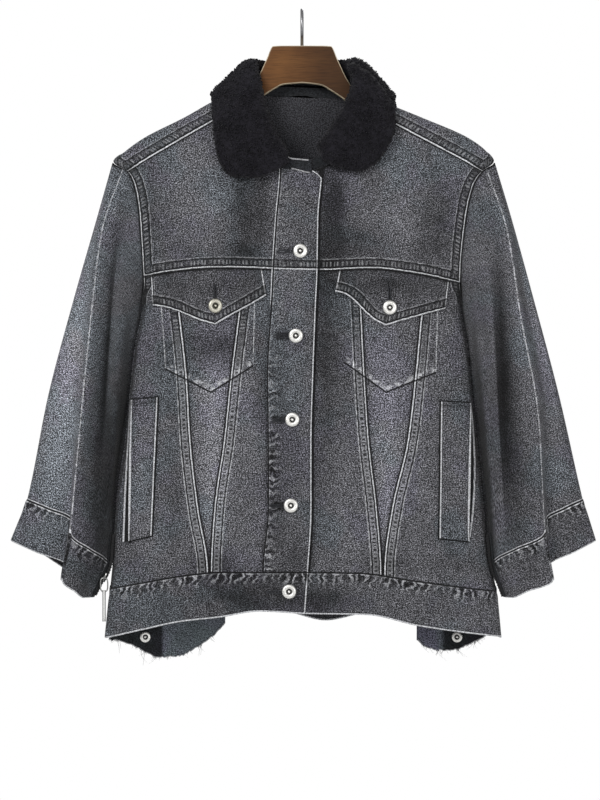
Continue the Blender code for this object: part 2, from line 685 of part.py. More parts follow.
def closed_solid(name, sections, finish):
    """A solid lofted through closed sections (rows), with a flat cap at each end."""
    rows, columns = sections.shape[:2]
    faces = grid_faces(rows, columns, closed=True)
    faces.append(tuple(range(columns)))
    faces.append(tuple(range((rows - 1) * columns, rows * columns))[::-1])
    mesh = mesh_of(name, sections, faces)
    shape = bmesh.new()
    shape.from_mesh(mesh)
    bmesh.ops.recalc_face_normals(shape, faces=shape.faces)
    shape.to_mesh(mesh)
    shape.free()
    return add_object(name, mesh, finish)


def box(name, size, frame, finish):
    """A box of a size (across, along, out) in a frame of a place and three directions."""
    mesh = bpy.data.meshes.new(name)
    shape = bmesh.new()
    bmesh.ops.create_cube(shape, size=1.0)
    bmesh.ops.scale(shape, vec=Vector(size) * MM, verts=shape.verts)
    shape.to_mesh(mesh)
    shape.free()
    obj = add_object(name, mesh, finish)
    place, *axes = frame
    turn = Matrix([Vector(axis) for axis in axes]).transposed().to_4x4()
    obj.matrix_world = Matrix.Translation(Vector(place) * MM) @ turn
    edge = obj.modifiers.new("Edge", "BEVEL")
    edge.width = 0.5 * MM
    edge.segments = 1
    return obj


def cylinder(name, radius, length, place, axis, finish):
    mesh = bpy.data.meshes.new(name)
    shape = bmesh.new()
    bmesh.ops.create_cone(
        shape, cap_ends=True, segments=16, radius1=radius * MM, radius2=radius * MM, depth=length * MM
    )
    shape.to_mesh(mesh)
    shape.free()
    obj = add_object(name, mesh, finish)
    obj.location = Vector(place) * MM
    obj.rotation_euler = Vector(axis).to_track_quat("Z", "Y").to_euler()
    return obj


def turned(name, profile, place, outward, finish):
    """A profile of (radius, height) turned about the line through place along outward."""
    mesh = bpy.data.meshes.new(name)
    points = [(radius * MM, 0, height * MM) for radius, height in profile]
    edges = [(i, i + 1) for i in range(len(points) - 1)]
    if min(radius for radius, height in profile) > 0:
        edges.append((len(points) - 1, 0))
    mesh.from_pydata(points, edges, [])
    obj = add_object(name, mesh, finish)
    turn = obj.modifiers.new("Turn", "SCREW")
    turn.steps = TURNED_STEPS
    turn.render_steps = TURNED_STEPS
    turn.use_merge_vertices = True
    turn.merge_threshold = 0.00005
    turn.use_normal_calculate = True
    obj.location = Vector(place) * MM
    obj.rotation_euler = Vector(outward).to_track_quat("Z", "Y").to_euler()
    return obj


def wire(name, points, radius, finish, closed=False):
    """A round wire along points, as a POLY curve with filled ends."""
    curve = bpy.data.curves.new(name, "CURVE")
    curve.dimensions = "3D"
    curve.bevel_depth = radius * MM
    curve.bevel_resolution = 2
    curve.use_fill_caps = True
    spline = curve.splines.new("POLY")
    spline.points.add(len(points) - 1)
    spline.use_cyclic_u = closed
    for point, place in zip(spline.points, points):
        point.co = (*(Vector(place) * MM), 1.0)
    return add_object(name, curve, finish)


# ---------------------------------------------------------------- panels

SIDE = toward_edge(5)
OTHER_SIDE = RIGHT_EDGE - 1 + toward_edge(5, first=False)
YOKE_ROWS = np.array([0.0, 0.14, 0.36, 0.6, 0.82, 1.0])
PANEL_ROWS = np.concatenate([[1.0, 1.035], 1 + UNDERARM_ROW + (1 - UNDERARM_ROW) * np.linspace(0, 1, 11)])
BAND_ROWS = np.array([2.0, 2.5, 3.0])
UNDER_PLACKET = np.array([3, 3 + 1 / 3, 3 + 2 / 3, 4])

FRONT_PANELS = {
    "front_yoke_left": (np.concatenate([SIDE, [1.4, 1.76, 1.86, 2.0, 2.5, 3.0]]), YOKE_ROWS),
    "front_yoke_right": (np.concatenate([UNDER_PLACKET, [4.5, 5, 5.15, 5.28, 5.6], OTHER_SIDE]), YOKE_ROWS),
    "front_side_left": (SIDE, PANEL_ROWS),
    "front_insert_left": (np.array([1, 1.5, 2.0]), PANEL_ROWS),
    "front_centre_left": (np.array([2, 2.5, 3.0]), PANEL_ROWS),
    "front_centre_right": (np.concatenate([UNDER_PLACKET, [4.5, 5.0]]), PANEL_ROWS),
    "front_insert_right": (np.array([5, 5.5, 6.0]), PANEL_ROWS),
    "front_side_right": (OTHER_SIDE, PANEL_ROWS),
}


def panel(name, side, plan, thickness, lift=0.0, finish="denim"):
    """A piece of cloth on the front or back, lifted off its inner face and trimmed at the seams."""
    outward = sheet_normals(side, plan)
    lift = np.asarray(lift, dtype=float)[..., None]
    grid = trimmed(sheet(side, plan) + outward * lift)
    cloth(name, grid, outward, thickness, finish, flip=side == "back")


def over_band(x):
    """How far the left hem band climbs to lie over the end of the right one."""
    return (FOLDED + LAYER_GAP) * step_up(x, *BAND_OVERLAP)


def add_front():
    """The front's panels, its two hem bands, and the placket on the left front's edge."""
    for name, (columns, rows) in FRONT_PANELS.items():
        panel(name, "front", front_plan(columns, rows), DENIM)
    left = front_plan(np.concatenate([SIDE, [2, 2.5, 2.75], UNDER_PLACKET]), BAND_ROWS)
    panel("front_hem_band_left", "front", left, FOLDED, over_band(left[..., 0]))
    right = front_plan(np.concatenate([UNDER_PLACKET, [4.5, 5], OTHER_SIDE]), BAND_ROWS)
    panel("front_hem_band_right", "front", right, FOLDED)
    columns = UNDER_PLACKET - np.array([PLACKET_TAB, 0, 0, 0])
    rows = np.concatenate([YOKE_ROWS, PANEL_ROWS[1:]])
    plan = front_plan(columns, rows)
    reach = np.clip((plan[..., 0] - CORNER_START) / CORNER_WIDTH, 0, 1)
    plan[..., 1] += CORNER_DROP * (reach * np.clip(1 - rows, 0, 1)[:, None] ** 2) ** 2
    panel("placket", "front", plan, DENIM, PLACKET_LIFT)


def pointed_plan(top, corners, point, columns, rows):
    """(x, drop) inside a shape with a top edge, two sides and two lower edges that meet in a point."""
    half = columns // 2
    bottom = np.concatenate([line([corners[0], point], half), line([point, corners[1]], half)[1:]])
    return coons(top, bottom, line([top[0], corners[0]], rows), line([top[-1], corners[1]], rows))


def add_flaps():
    """The chest pockets' flaps, which hang from the yoke seam. The right one's inner corner curls out."""
    for side, shape in FLAPS.items():
        x = np.linspace(*shape["top"], 13)
        top = np.stack([x, smooth(x, FRONT_YOKE["x"], FRONT_YOKE["drop"]) + 1.0], axis=1)
        plan = pointed_plan(top, shape["corners"], shape["point"], 12, 4)
        down = np.linspace(0, 1, 5)[:, None]
        across = np.linspace(0, 1, 13)[None]
        curl = shape["curl"] * (down * np.clip(1 - across / CURL_WIDTH, 0, 1)) ** 2
        panel(f"chest_flap_{side}", "front", plan, DENIM, FLAP_LIFT[0] + FLAP_LIFT[1] * down + curl)


def add_pockets():
    """The chest pocket bags, one ply that lies behind the panels."""
    for side, shape in POCKETS.items():
        x = np.linspace(*shape["top"], 9)
        top = np.stack([x, np.full(9, POCKET_MOUTH)], axis=1)
        plan = pointed_plan(top, shape["corners"], shape["point"], 8, 5)
        panel(f"chest_pocket_{side}", "front", plan, POCKETING, -BEHIND - POCKETING)


def add_welts():
    """The hand pockets' welts, each open along its outer edge."""
    for side, (top_left, top_right, low_left, low_right) in WELTS.items():
        ends = line([top_left, top_right], 3), line([low_left, low_right], 3)
        plan = coons(*ends, line([top_left, low_left], 8), line([top_right, low_right], 8))
        panel(f"hand_pocket_welt_{side}", "front", plan, DENIM, WELT_LIFT)


SIDE_DROPS = mix(FRONT_YOKE["drop"][0], HEM_SEAM["drop"][0], PANEL_ROWS - 1)
BACK_SHARES = toward_edge(18, first=True, last=True)
STRAP_SHARES = np.array([0, 0.03, 0.18, 0.55, 0.975])  # from the ridge forward to the shoulder seam
YOKE_SHARES = np.array([0, 0.015, 0.06, 0.25, 0.6, 1.0])  # and from the ridge down to the back yoke seam
RIDGE_COUNT = 6


def add_back():
    """The back panel and its hem band, and the raw-edged tails inside the band."""
    drops = np.concatenate([[YOKE_SEAM_BACK, 286.0], SIDE_DROPS])
    panel("back_panel", "back", back_plan(BACK_SHARES, drops), DENIM)
    band_drops = np.array([HEM_SEAM["drop"][0], 707.0, BACK_HEM["drop"][0]])
    panel("back_hem_band", "back", back_plan(BACK_SHARES, band_drops), FOLDED)
    for side, edge in TAILS.items():
        x = np.linspace(edge["x"][0], edge["x"][-1], 9)
        low = smooth(x, edge["x"], edge["drop"])
        top = smooth(x, BACK_HEM["x"], BACK_HEM["drop"]) - TAIL_TUCK
        share = np.linspace(0, 1, 4)[:, None]
        x = mix(np.maximum(x, TAIL_START), x[None], share**2)
        plan = np.stack([x, mix(top[None], low[None], share)], axis=-1)
        panel(f"back_tail_{side}", "back", plan, DENIM, -BEHIND - DENIM, "dark denim")


def ridge_plan():
    """(x, drop) along the two shoulder ridges and, between them, the back neckline."""
    tips = body("left", SHOULDER_TIP) + DENIM, body("right", SHOULDER_TIP) - DENIM
    even = np.linspace(0, 1, RIDGE_COUNT + 1)
    neck = np.linspace(-NECK_WIDTH, NECK_WIDTH, 9)
    x = np.concatenate([mix(tips[0], -NECK_WIDTH, even[:-1]), neck, mix(NECK_WIDTH, tips[1], even[1:])])
    return np.stack([x, np.where(np.abs(x) < NECK_WIDTH, back_neckline(x), crest(x))], axis=1)


def edge_plan(side, drop):
    sign = 1 if side == "left" else -1
    return np.stack([body(side, drop) + sign * DENIM, drop], axis=-1)


def add_back_yoke():
    """The back yoke with its two straps, which come over the shoulders to the forward shoulder seams."""
    ridge = ridge_plan()
    x = ridge[:, 0]
    low_ends = edge_plan("left", YOKE_SEAM_BACK)[0], edge_plan("right", YOKE_SEAM_BACK)[0]
    low_x = mix(*low_ends, (x - x[0]) / (x[-1] - x[0]))
    low = np.stack([low_x, np.full(len(x), YOKE_SEAM_BACK)], axis=1)
    left_end, right_end = SHOULDER_SEAM["x"][[0, -1]]
    seam_ends = [left_end + DENIM, -NECK_WIDTH + 1, NECK_WIDTH - 1, right_end - DENIM]
    seam_x = np.interp(x, [x[0], -NECK_WIDTH, NECK_WIDTH, x[-1]], seam_ends)
    seam = np.stack([seam_x, front_top(seam_x)], axis=1)
    back = mix(ridge[None], low[None], YOKE_SHARES[:, None, None])
    front = mix(ridge[None], seam[None], STRAP_SHARES[:, None, None])
    seam_end = SHOULDER_SEAM["drop"][0]
    for plan, shares, end in ((back, YOKE_SHARES, YOKE_SEAM_BACK), (front, STRAP_SHARES, seam_end)):
        drops = mix(SHOULDER_TIP, end, shares)
        plan[:, 0] = edge_plan("left", drops)
        plan[:, -1] = edge_plan("right", drops)
    outward = np.concatenate([sheet_normals("back", back)[::-1], sheet_normals("front", front)[1:]])
    rim = len(back) - 1
    strap = np.abs(x) >= NECK_WIDTH
    outward[rim, strap] = unit(outward[rim, strap] + sheet_normals("front", front)[0, strap])
    grid = trimmed(np.concatenate([sheet("back", back)[::-1], sheet("front", front)[1:]]))
    keep = np.ones((len(grid) - 1, len(x) - 1), dtype=bool)
    keep[rim:, RIDGE_COUNT:-RIDGE_COUNT] = False
    cloth("back_yoke", grid, outward, DENIM, keep=keep)


# ---------------------------------------------------------------- sleeves and zips

SLEEVE_ROWS = np.array([0.0, 0.05, 0.15, 0.25, 0.35, 0.47, 0.6, 0.74, CUFF_START])
CUFF_ROWS = np.array([CUFF_START + 0.003, 0.935, 1.0])
TUCK_PLACES = (0.0, 0.04, 0.08, 0.12, 0.15, 0.17, 0.19)


def sleeve_columns(side):
    """Places round the sleeve, which meet the armhole where the front and back panels have theirs."""
    even = np.linspace(0, 1, 2001)
    drops = closed_smooth(even, SLEEVE_LINES["round"], SLEEVE_LINES["top"])
    drops[-1] = SHOULDER_TIP
    outline = np.array([0.0 if side == "left" else RIGHT_EDGE])
    front_drops = front_plan(outline, np.concatenate([YOKE_ROWS, PANEL_ROWS[1:2]]))[:, 0, 1]
    back_drops = np.append(mix(SHOULDER_TIP, YOKE_SEAM_BACK, YOKE_SHARES[2:]), [286.0, 314.0])
    half = len(even) // 2
    on_front = np.interp(front_drops, drops[: half + 1], even[: half + 1])
    on_back = np.interp(back_drops, drops[half:][::-1], even[half:][::-1])
    around = np.unique(np.round(np.concatenate([TUCK_PLACES, on_front, on_back]), 4))
    return around[np.concatenate([[True], np.diff(around) > 0.012])]


def add_sleeves():
    for side in ("left", "right"):
        around = sleeve_columns(side)
        for name, rows, thickness in (("sleeve", SLEEVE_ROWS, DENIM), ("cuff", CUFF_ROWS, FOLDED)):
            grid = trimmed(sleeve(side, around, rows), columns=False)
            outward = sleeve_normals(side, around, rows)
            cloth(f"{name}_{side}", grid, outward, thickness, closed=True, flip=side == "right")


def add_zips():
    """The cuff zips' chains, down the inner edge of each cuff."""
    rows = np.array(ZIP_ROWS)
    around = ZIP_PLACE + ZIP_HALF * np.array([-1.0, 0.0, 1.0])
    lift = LAYER_GAP + 0.2 + mix(DENIM, FOLDED, step_up(rows, 0.84, 0.86))[:, None, None]
    for side in ("left", "right"):
        outward = sleeve_normals(side, around, rows)
        grid = sleeve(side, around, rows) + outward * lift
        cloth(f"zip_chain_{side}", grid, outward, CHAIN, "zip", flip=side == "right")


def slider_frame():
    """The slider's middle, and its directions across the chain, along it and out of it."""
    place = np.array([ZIP_PLACE])
    at = sleeve("left", place, np.array([SLIDER_AT]))[0, 0]
    outward = sleeve_normals("left", place, np.array([SLIDER_AT]))[0, 0]
    along = unit(sleeve("left", place, np.array([SLIDER_AT + 0.02]))[0, 0] - at)
    across = unit(np.cross(along, outward))
    along = np.cross(outward, across)
    lift = FOLDED + LAYER_GAP + CHAIN + LAYER_GAP + SLIDER_SIZE[2] / 2
    return at + outward * lift, across, along, outward


def add_slider():
    """The left zip's slider with its bail, and its pull: a ring through the bail and a folded tab.
    The ring hangs from the bail and turns about the x direction."""
    middle, across, along, outward = slider_frame()
    slider = box("zip_slider", SLIDER_SIZE, (middle, across, along, outward), "silver")
    front = across if across[1] < 0 else -across
    beside, below, above = BAIL_PLACE
    hinge = middle + front * (SLIDER_SIZE[0] / 2 + beside) + along * below + outward * above
    turns = np.linspace(0, 2 * math.pi, 9)[:-1]
    circle = [(BAIL_RADIUS + BAIL_WIRE * math.cos(turn), -BAIL_WIRE * math.sin(turn)) for turn in turns]
    bail = turned("zip_bail", circle, hinge, (1, 0, 0), "silver")
    combine(slider, bail, "UNION")

    width, height = PULL_RING
    turns = np.linspace(0, 2 * math.pi, 25)[:-1]
    x = squared(np.sin(turns), RING_SQUARENESS) * width
    z = squared(np.cos(turns), RING_SQUARENESS) * height - height
    ring = wire("zip_pull_ring", [(a, 0, b) for a, b in zip(x, z)], PULL_WIRE, "silver", closed=True)
    ring.location = Vector(hinge) * MM

    foot = -2 * height
    corners = ((-1, -1), (1, -1), (1, 1), (-1, 1))
    sections = [
        [(TAB_HALF_WIDTH * i, half * j, foot + up) for i, j in corners] for up, half in profile_of(TAB)
    ]
    tab = closed_solid("zip_pull_tab", np.array(sections), "tape")
    tab.location = ring.location
    at_foot = hinge + np.array([0, 0, foot])
    combine(tab, cylinder("zip_tab_eye", TAB_EYE, 8, at_foot, (1, 0, 0), "tape"), "DIFFERENCE")


# ---------------------------------------------------------------- collar


def neck_line(x, side):
    """Points of the neckline at x, on the front where side is negative and on the back where it isn't."""
    on_front = side < 0
    drop = np.where(on_front, np.maximum(neckline(x), crest(x)), back_neckline(x))
    plan = np.stack([x, drop], axis=1)
    return np.where(on_front[:, None], sheet("front", plan), sheet("back", plan))


def collar_rows(start, end):
    """The collar's table at even steps, with the directions up the stand and out of it."""
    at = np.linspace(start, end, COLLAR_STEPS + 1)
    knots = np.arange(len(COLLAR["thick"]), dtype=float)
    row = {name: smooth(at, knots, values) for name, values in COLLAR.items()}
    row["neck"] = neck_line(row["neck_x"], row["side"])
    for name in ("roll", "edge"):
        row[name] = np.stack([row[name + "_x"], row[name + "_y"], -row[name + "_drop"]], axis=1)
    row["up"] = unit(row["roll"] - row["neck"])
    row["out"] = unit(np.cross(row["up"], np.gradient(row["neck"], axis=0)))
    return row


def add_collar():
    """The pile collar: up from the stand, over the roll and down to the free edge, in one thick pad."""
    row = collar_rows(*COLLAR_ENDS)
    neck, roll, up, out = row["neck"], row["roll"], row["up"], row["out"]
    height = np.linalg.norm(roll - neck, axis=1, keepdims=True)
    bend = (row["thick"] + ROLL_GAP)[:, None]
    shoulder = neck + up * np.maximum(height - bend, COLLAR_FOOT + 0.7)
    outside = shoulder + out * bend * 2.2
    stops = [
        neck + up * COLLAR_FOOT,
        shoulder,
        roll + out * bend * 1.1,
        outside,
        mix(outside, row["edge"], 0.5) + out * row["bow"][:, None],
        row["edge"],
    ]
    middle = smooth(PAD["share"], PAD_STOPS, np.stack(stops)).transpose(1, 0, 2)
    outward = unit(np.cross(np.gradient(middle, axis=0), np.gradient(middle, axis=1)))
    outward[:, 0] = -out
    half = outward * (row["thick"][:, None] * PAD["taper"][None])[..., None]
    closed_solid("collar", np.concatenate([middle + half, (middle - half)[:, ::-1]], axis=1), "pile")


def add_stand():
    """The collar stand, a band that stands on the neckline and overlaps it on the outside. Its foot is
    moved out of the panels along their own normals, except over the ridges, where they turn."""
    row = collar_rows(0, len(COLLAR["thick"]) - 1)
    neck, up, out = row["neck"], row["up"], row["out"]
    plan = np.stack([neck[:, 0], -neck[:, 2]], axis=1)
    foot_plan = plan + unit(plan - NECK_MIDDLE) * row["foot"][:, None]
    foot_plan[:, 1] = np.maximum(foot_plan[:, 1], crest(foot_plan[:, 0]))
    on_front = (neck[:, 1] < 0)[:, None]
    foot = np.where(on_front, sheet("front", foot_plan), sheet("back", foot_plan))
    panel_out = np.where(on_front, sheet_normals("front", foot_plan), sheet_normals("back", foot_plan))
    off_ridge = step_up(np.abs(neck[:, 1:2]), *RIDGE_BLEND)
    foot_out = unit(mix(out, panel_out, off_ridge))
    lift = row["lift"][:, None]
    middle_out = unit(out + foot_out)
    grid = np.stack([
        neck + up * STAND_HEIGHT + out * lift * 0.5,
        neck + up * STAND_BEND + middle_out * lift * 0.85,
        foot + foot_out * lift,
    ])
    outward = np.stack([out, middle_out, foot_out])
    cloth("collar_stand", grid, outward, STAND, "dark denim", flip=True)


# ---------------------------------------------------------------- metal


def place_on(side, x, drop, lift):
    """The point lifted off a sheet at (x, drop), and the direction out of the sheet there."""
    plan = np.array([x, drop], dtype=float)
    outward = sheet_normals(side, plan)
    return sheet(side, plan) + outward * lift, outward


def add_buttons():
    on_placket = PLACKET_LIFT + DENIM + LAYER_GAP
    last = len(FRONT_BUTTONS["x"])
    for number, (x, drop) in enumerate(profile_of(FRONT_BUTTONS), 1):
        lift = over_band(x) + FOLDED + LAYER_GAP if number == last else on_placket
        turned(f"front_button_{number}", profile_of(BUTTON), *place_on("front", x, drop, lift), "silver")
    for side, (x, drop) in FLAP_BUTTONS.items():
        place = place_on("front", x, drop, on_placket + FLAP_BUTTON_LIFT)
        turned(f"flap_button_{side}", profile_of(BUTTON), *place, "silver")


def add_studs():
    """The press studs, on the side of the tails that faces into the jacket."""
    for side, (x, drop) in STUDS.items():
        place, outward = place_on("back", x, drop, -BEHIND - DENIM - LAYER_GAP - 0.2)
        turned(f"press_stud_{side}", profile_of(PRESS_STUD), place, -outward, "silver")


# ---------------------------------------------------------------- hanger


def wood_edges(away):
    """Drops of the wood's top and bottom edges: the crown, then the arms under the shoulders."""
    table_edges = [np.interp(away, CROWN["x"], CROWN[name]) for name in ("top", "bottom")]
    share = np.clip((away - CROWN["x"][-1]) / CROWN_TO_ARM, 0, 1)
    if share == 0:
        return table_edges
    arm_top = max(float(crest(away)), float(crest(-away))) + WOOD_CLEAR
    top = mix(table_edges[0], arm_top, share)
    return top, mix(table_edges[1], arm_top + ARM_DEPTH, share)


def add_wood():
    """The hanger's wood: rounded sections from end to end, square in the crown and oval in the arms."""
    turn = np.linspace(0, 2 * math.pi, 17)[:-1] + math.pi / 16
    sections = []
    for x in [-place for place in WOOD_STOPS[:0:-1]] + list(WOOD_STOPS):
        top, bottom = wood_edges(abs(x))
        at_end = abs(x) == WOOD_END
        half = WOOD_HALF * (0.6 if at_end else 1.0)
        reach = (bottom - top) / 2 - (END_ROUNDING if at_end else 0.0)
        power = mix(*WOOD_SQUARENESS, np.clip((abs(x) - ARM_START) / ARM_BLEND, 0, 1))
        across = squared(np.sin(turn), power) * half
        down = squared(np.cos(turn), power)
        down = down / np.abs(down).max() * reach
        sections.append(np.stack([np.full(16, float(x)), across, down - (top + bottom) / 2], axis=1))
    wood = closed_solid("hanger_wood", np.array(sections), "wood")
    radius = HOOK_WIRE / 2 + HOOK_HOLE
    hole = cylinder("hook_hole", radius, 2 * HOOK_DEPTH + 2, (0, 0, -WOOD_TOP), (0, 0, 1), "wood")
    combine(wood, hole, "DIFFERENCE")


def add_hook():
    """The wire hook, edge on to the front: a stem, a curl back and an open ring above it."""
    radius = HOOK_INNER + HOOK_WIRE / 2
    turns = np.radians(np.linspace(HOOK_START, HOOK_TAIL, HOOK_POINTS))
    ring = [(0, radius * math.cos(turn), radius * math.sin(turn) - HOOK_INNER) for turn in turns]
    stem = [(0, 0, -WOOD_TOP - HOOK_DEPTH), (0, 0, -WOOD_TOP + 0.5)]
    stem += [(0, ring[0][1] * back, mix(-WOOD_TOP, ring[0][2], up)) for back, up in HOOK_BEND]
    wire("hanger_hook", stem + ring, HOOK_WIRE / 2, "steel")


# ---------------------------------------------------------------- the whole

clear_scene()
PARTS = collection("denim_jacket_on_hanger")
TOOLS = collection("shaping_tools")

add_front()
add_flaps()
add_pockets()
add_welts()
add_back()
add_back_yoke()
add_sleeves()
add_zips()
add_slider()
add_collar()
add_stand()
add_buttons()
add_studs()
add_wood()
add_hook()
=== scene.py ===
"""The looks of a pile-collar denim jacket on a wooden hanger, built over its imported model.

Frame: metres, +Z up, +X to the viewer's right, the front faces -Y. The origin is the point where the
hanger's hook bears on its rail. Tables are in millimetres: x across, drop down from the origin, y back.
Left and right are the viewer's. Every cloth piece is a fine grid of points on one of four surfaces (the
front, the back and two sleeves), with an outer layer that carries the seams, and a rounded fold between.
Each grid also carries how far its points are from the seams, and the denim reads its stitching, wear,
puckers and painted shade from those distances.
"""

import functools
import itertools
import math

import bmesh
import bpy
import numpy as np
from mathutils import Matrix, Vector


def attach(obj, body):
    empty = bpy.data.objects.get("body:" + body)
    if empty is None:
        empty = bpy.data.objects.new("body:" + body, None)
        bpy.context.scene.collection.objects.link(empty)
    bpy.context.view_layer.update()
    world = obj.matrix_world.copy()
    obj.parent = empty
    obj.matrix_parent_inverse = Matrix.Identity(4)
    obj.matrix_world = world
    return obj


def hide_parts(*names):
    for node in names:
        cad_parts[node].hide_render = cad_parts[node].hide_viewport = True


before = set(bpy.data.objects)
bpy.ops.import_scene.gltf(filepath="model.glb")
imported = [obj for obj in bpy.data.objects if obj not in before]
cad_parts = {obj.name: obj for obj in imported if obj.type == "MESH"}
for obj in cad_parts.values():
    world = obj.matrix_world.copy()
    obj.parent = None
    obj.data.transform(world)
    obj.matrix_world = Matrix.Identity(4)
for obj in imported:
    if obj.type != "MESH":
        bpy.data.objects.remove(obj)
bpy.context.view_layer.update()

MM = 0.001

# Cloth, in millimetres
DENIM = 1.3
FOLDED = 2.1  # hem bands and cuffs, folded double
STAND = 1.6
POCKETING = 1.0
TAPE = 0.7  # of a zip
SEAM = 0.25  # half the gap at a seam
PLACKET_LIFT = 2.3
ON_PLACKET = PLACKET_LIFT + DENIM
FLAP_LIFT = (2.45, 0.7)  # at the yoke seam, and how much more at the low edge
YOKE_OVER_FLAP = 1.6
WELT_LIFT = 2.0
WELT_GAPE = 1.6  # how far a welt's mouth stands open at its middle
BEHIND = 1.2  # how far a hidden piece lies inside the panels
ROUNDNESS = 4.0  # the power of the body's section, from 2, an ellipse, towards a box
FAR = 99.0  # a distance from a seam that a piece doesn't have
CLOTH_SHIFT = (40, 7)  # each piece is cut from the next of this many places in the cloth, so far apart
CLOTH_EASE = 0.94  # how much a tube's cloth is eased in, against what its surface measures

# Size of a cell of the grids
STEP = 2.9  # the front's panels
SIDE_STEP = 2.15  # those with the hand pockets
FINE_STEP = 2.2  # placket, flaps, welts and cuffs
BAND_STEP = 2.4
BACK_STEP = 4.6
BACK_BAND_STEP = 3.0
YOKE_STEPS = (3.0, 4.0)  # across and down the back yoke
YOKE_NECK_COLUMNS = 56
STRAP_SHARES = np.linspace(0, 1, 6)[1:-1]  # the even rows down a strap
POCKET_STEP = 5.0
TAIL_STEP = 1.6
SLEEVE_STEP = 3.9

# Jacket
SHOULDER_TIP = 178.0
YOKE_SEAM_BACK = 262.0
UNDERARM_DROP = 346.0
ARMHOLE_STEP = 0.7  # how far a sleeve's top stands out of the panels
TIP_STEP = 0.3  # and how much more at the shoulder's tip and under the arm
UNDERARM_STEP = 3.4
NECK_WIDTH = 82.0  # half of it
NECK_TOP = 96.0
NECK_DEPTH = 90.0
NECK_TILT = 6.0
BACK_SCOOP = 2.0
BAND_OVERLAP = (-62.0, -47.0)  # x where the left hem band climbs over the right one's end
SEAM_COLUMN, EDGE_COLUMN, LAST_COLUMN = 3, 4, 7  # of the front: the placket's seam, its edge, the side
PLACKET_TAB = 0.04  # how far the placket reaches over its seam, in columns
CORNER_START = 8.0  # the placket's rounded top corner
CORNER_WIDTH = 15.0
CORNER_DROP = 13.0
TUCK_SLANT = 0.12

# Sleeves. Places round and down them are shares; round, the underarm's seam is at 0.5.
CUFF_START = 0.87
SLEEVE_LENGTH, CUFF_LENGTH = 360.0, 48.0
SLEEVE_ROUND, SLEEVE_LONG = 280.0, 400.0  # the flattened tube that creases are drawn on
COLUMN_SHARE, CREASE_SHARE = 0.0102, 0.0036  # between columns, and closer at the pressed crease
CREASE_SPAN = (0.135, 0.2135)
PRESSED_CREASE = 1.188

# Zips
ZIP_PLACE = 0.48
CHAIN_SPAN = (0.782, 0.997)
CHAIN_HALF = 0.018
CHAIN_CLIMB = (0.83, 0.86)  # where the chain climbs on to the thicker cuff
CHAIN_LIFT = 0.5
TOOTH_PITCH = 3.4
TOOTH_SIZE = (1.8, 2.1, 3.2)
TOOTH_SIDE = 0.6
TOOTH_LIFT = (1.0, 2.2)  # off the tape, and how much more above the slider
TEETH_FALL = (0.905, 0.945)
SLIDER_AT = 0.925
CHAIN = 1.6
SLIDER_WIDTH, SLIDER_THICK = 7.0, 2.6
BAIL_RADIUS = 2.1
BAIL_WIRE = 0.6
BAIL_PLACE = (1.7, 1.5, 1.2)  # beside, along and above the slider's edge
PULL_RING = (4.3, 8.0)
PULL_WIRE = 0.8
STRIP_PLY = 0.32

# Hanger
HOOK_WIRE = 3.8
HOOK_INNER = 16.0
HOOK_START = -130.0
HOOK_TAIL = -380.0
HOOK_BEND = ((0.25, 0.45), (0.68, 0.78))
HOOK_DEPTH = 6.0
WOOD_TOP = 40.4
WOOD_END = 198.0
WOOD_CLEAR = 3.6


def table(names, *rows):
    """The columns of a short table, by name."""
    return dict(zip(names.split(), np.array(rows, dtype=float).T))


def rows_of(columns):
    """The rows of a table again."""
    return list(zip(*columns.values()))


BODY = table(
    "drop left right hold_left hold_right front back",
    (84, -62, 42, 0, 0, 9, 11),
    (96, -84, 70, 0, 0, 11, 13),
    (108, -108, 98, 0, 0, 13, 15),
    (125, -138, 140, 0, 0, 15, 17),
    (150, -187, 197, 0, 0, 18, 20),
    (165, -208, 217, 0, 0, 20, 21),
    (SHOULDER_TIP, -222, 226, 0, 0, 22, 22),
    (188, -205, 212, 6, 6, 23, 23),
    (206, -196.5, 201, 11, 11, 25, 24),
    (234, -191.5, 194, 15, 15, 27, 26),
    (267, -189, 189.5, 17, 17, 29, 27),
    (300, -187, 186.5, 16, 17, 31, 28),
    (320, -186, 186, 10, 12, 32, 28),
    (340, -187, 186.5, 0, 1, 33, 28),
    (350, -187.6, 187, 0, 0, 33, 28),
    (370, -190.8, 190, 0, 0, 35, 28),
    (393, -196, 194.5, 0, 0, 36, 29),
    (444, -202, 200, 0, 0, 38, 29),
    (508, -208, 206, 0, 0, 40, 29),
    (583, -219, 213.5, 0, 0, 42, 30),
    (643, -222, 219, 0, 0, 43, 31),
    (680, -225.5, 228, 0, 0, 44, 32),
    (737, -231.5, 234, 0, 0, 45, 33),
)
LINES = table(
    "drop left_outer left_inner placket edge right_inner right_outer",
    (95, -158, -69, -24, 26, 68, 158),
    (189, -156, -69, -25, 23, 67, 155),
    (245, -152, -68, -30, 19, 66, 150),
    (305, -149, -67, -34, 18, 66, 146),
    (350, -143.5, -73, -36, 16, 69, 140),
    (430, -134.5, -83, -40, 13, 73, 132),
    (505, -130, -91, -39, 11, 78, 123),
    (583, -121, -102, -38, 11, 87, 105),
    (655, -109.5, -106, -44, 7, 92.5, 96),
    (710, -109, -106, -44, 3, 93, 96.5),
)
LINE_NAMES = ("left_outer", "left_inner", "placket", "edge", "right_inner", "right_outer")

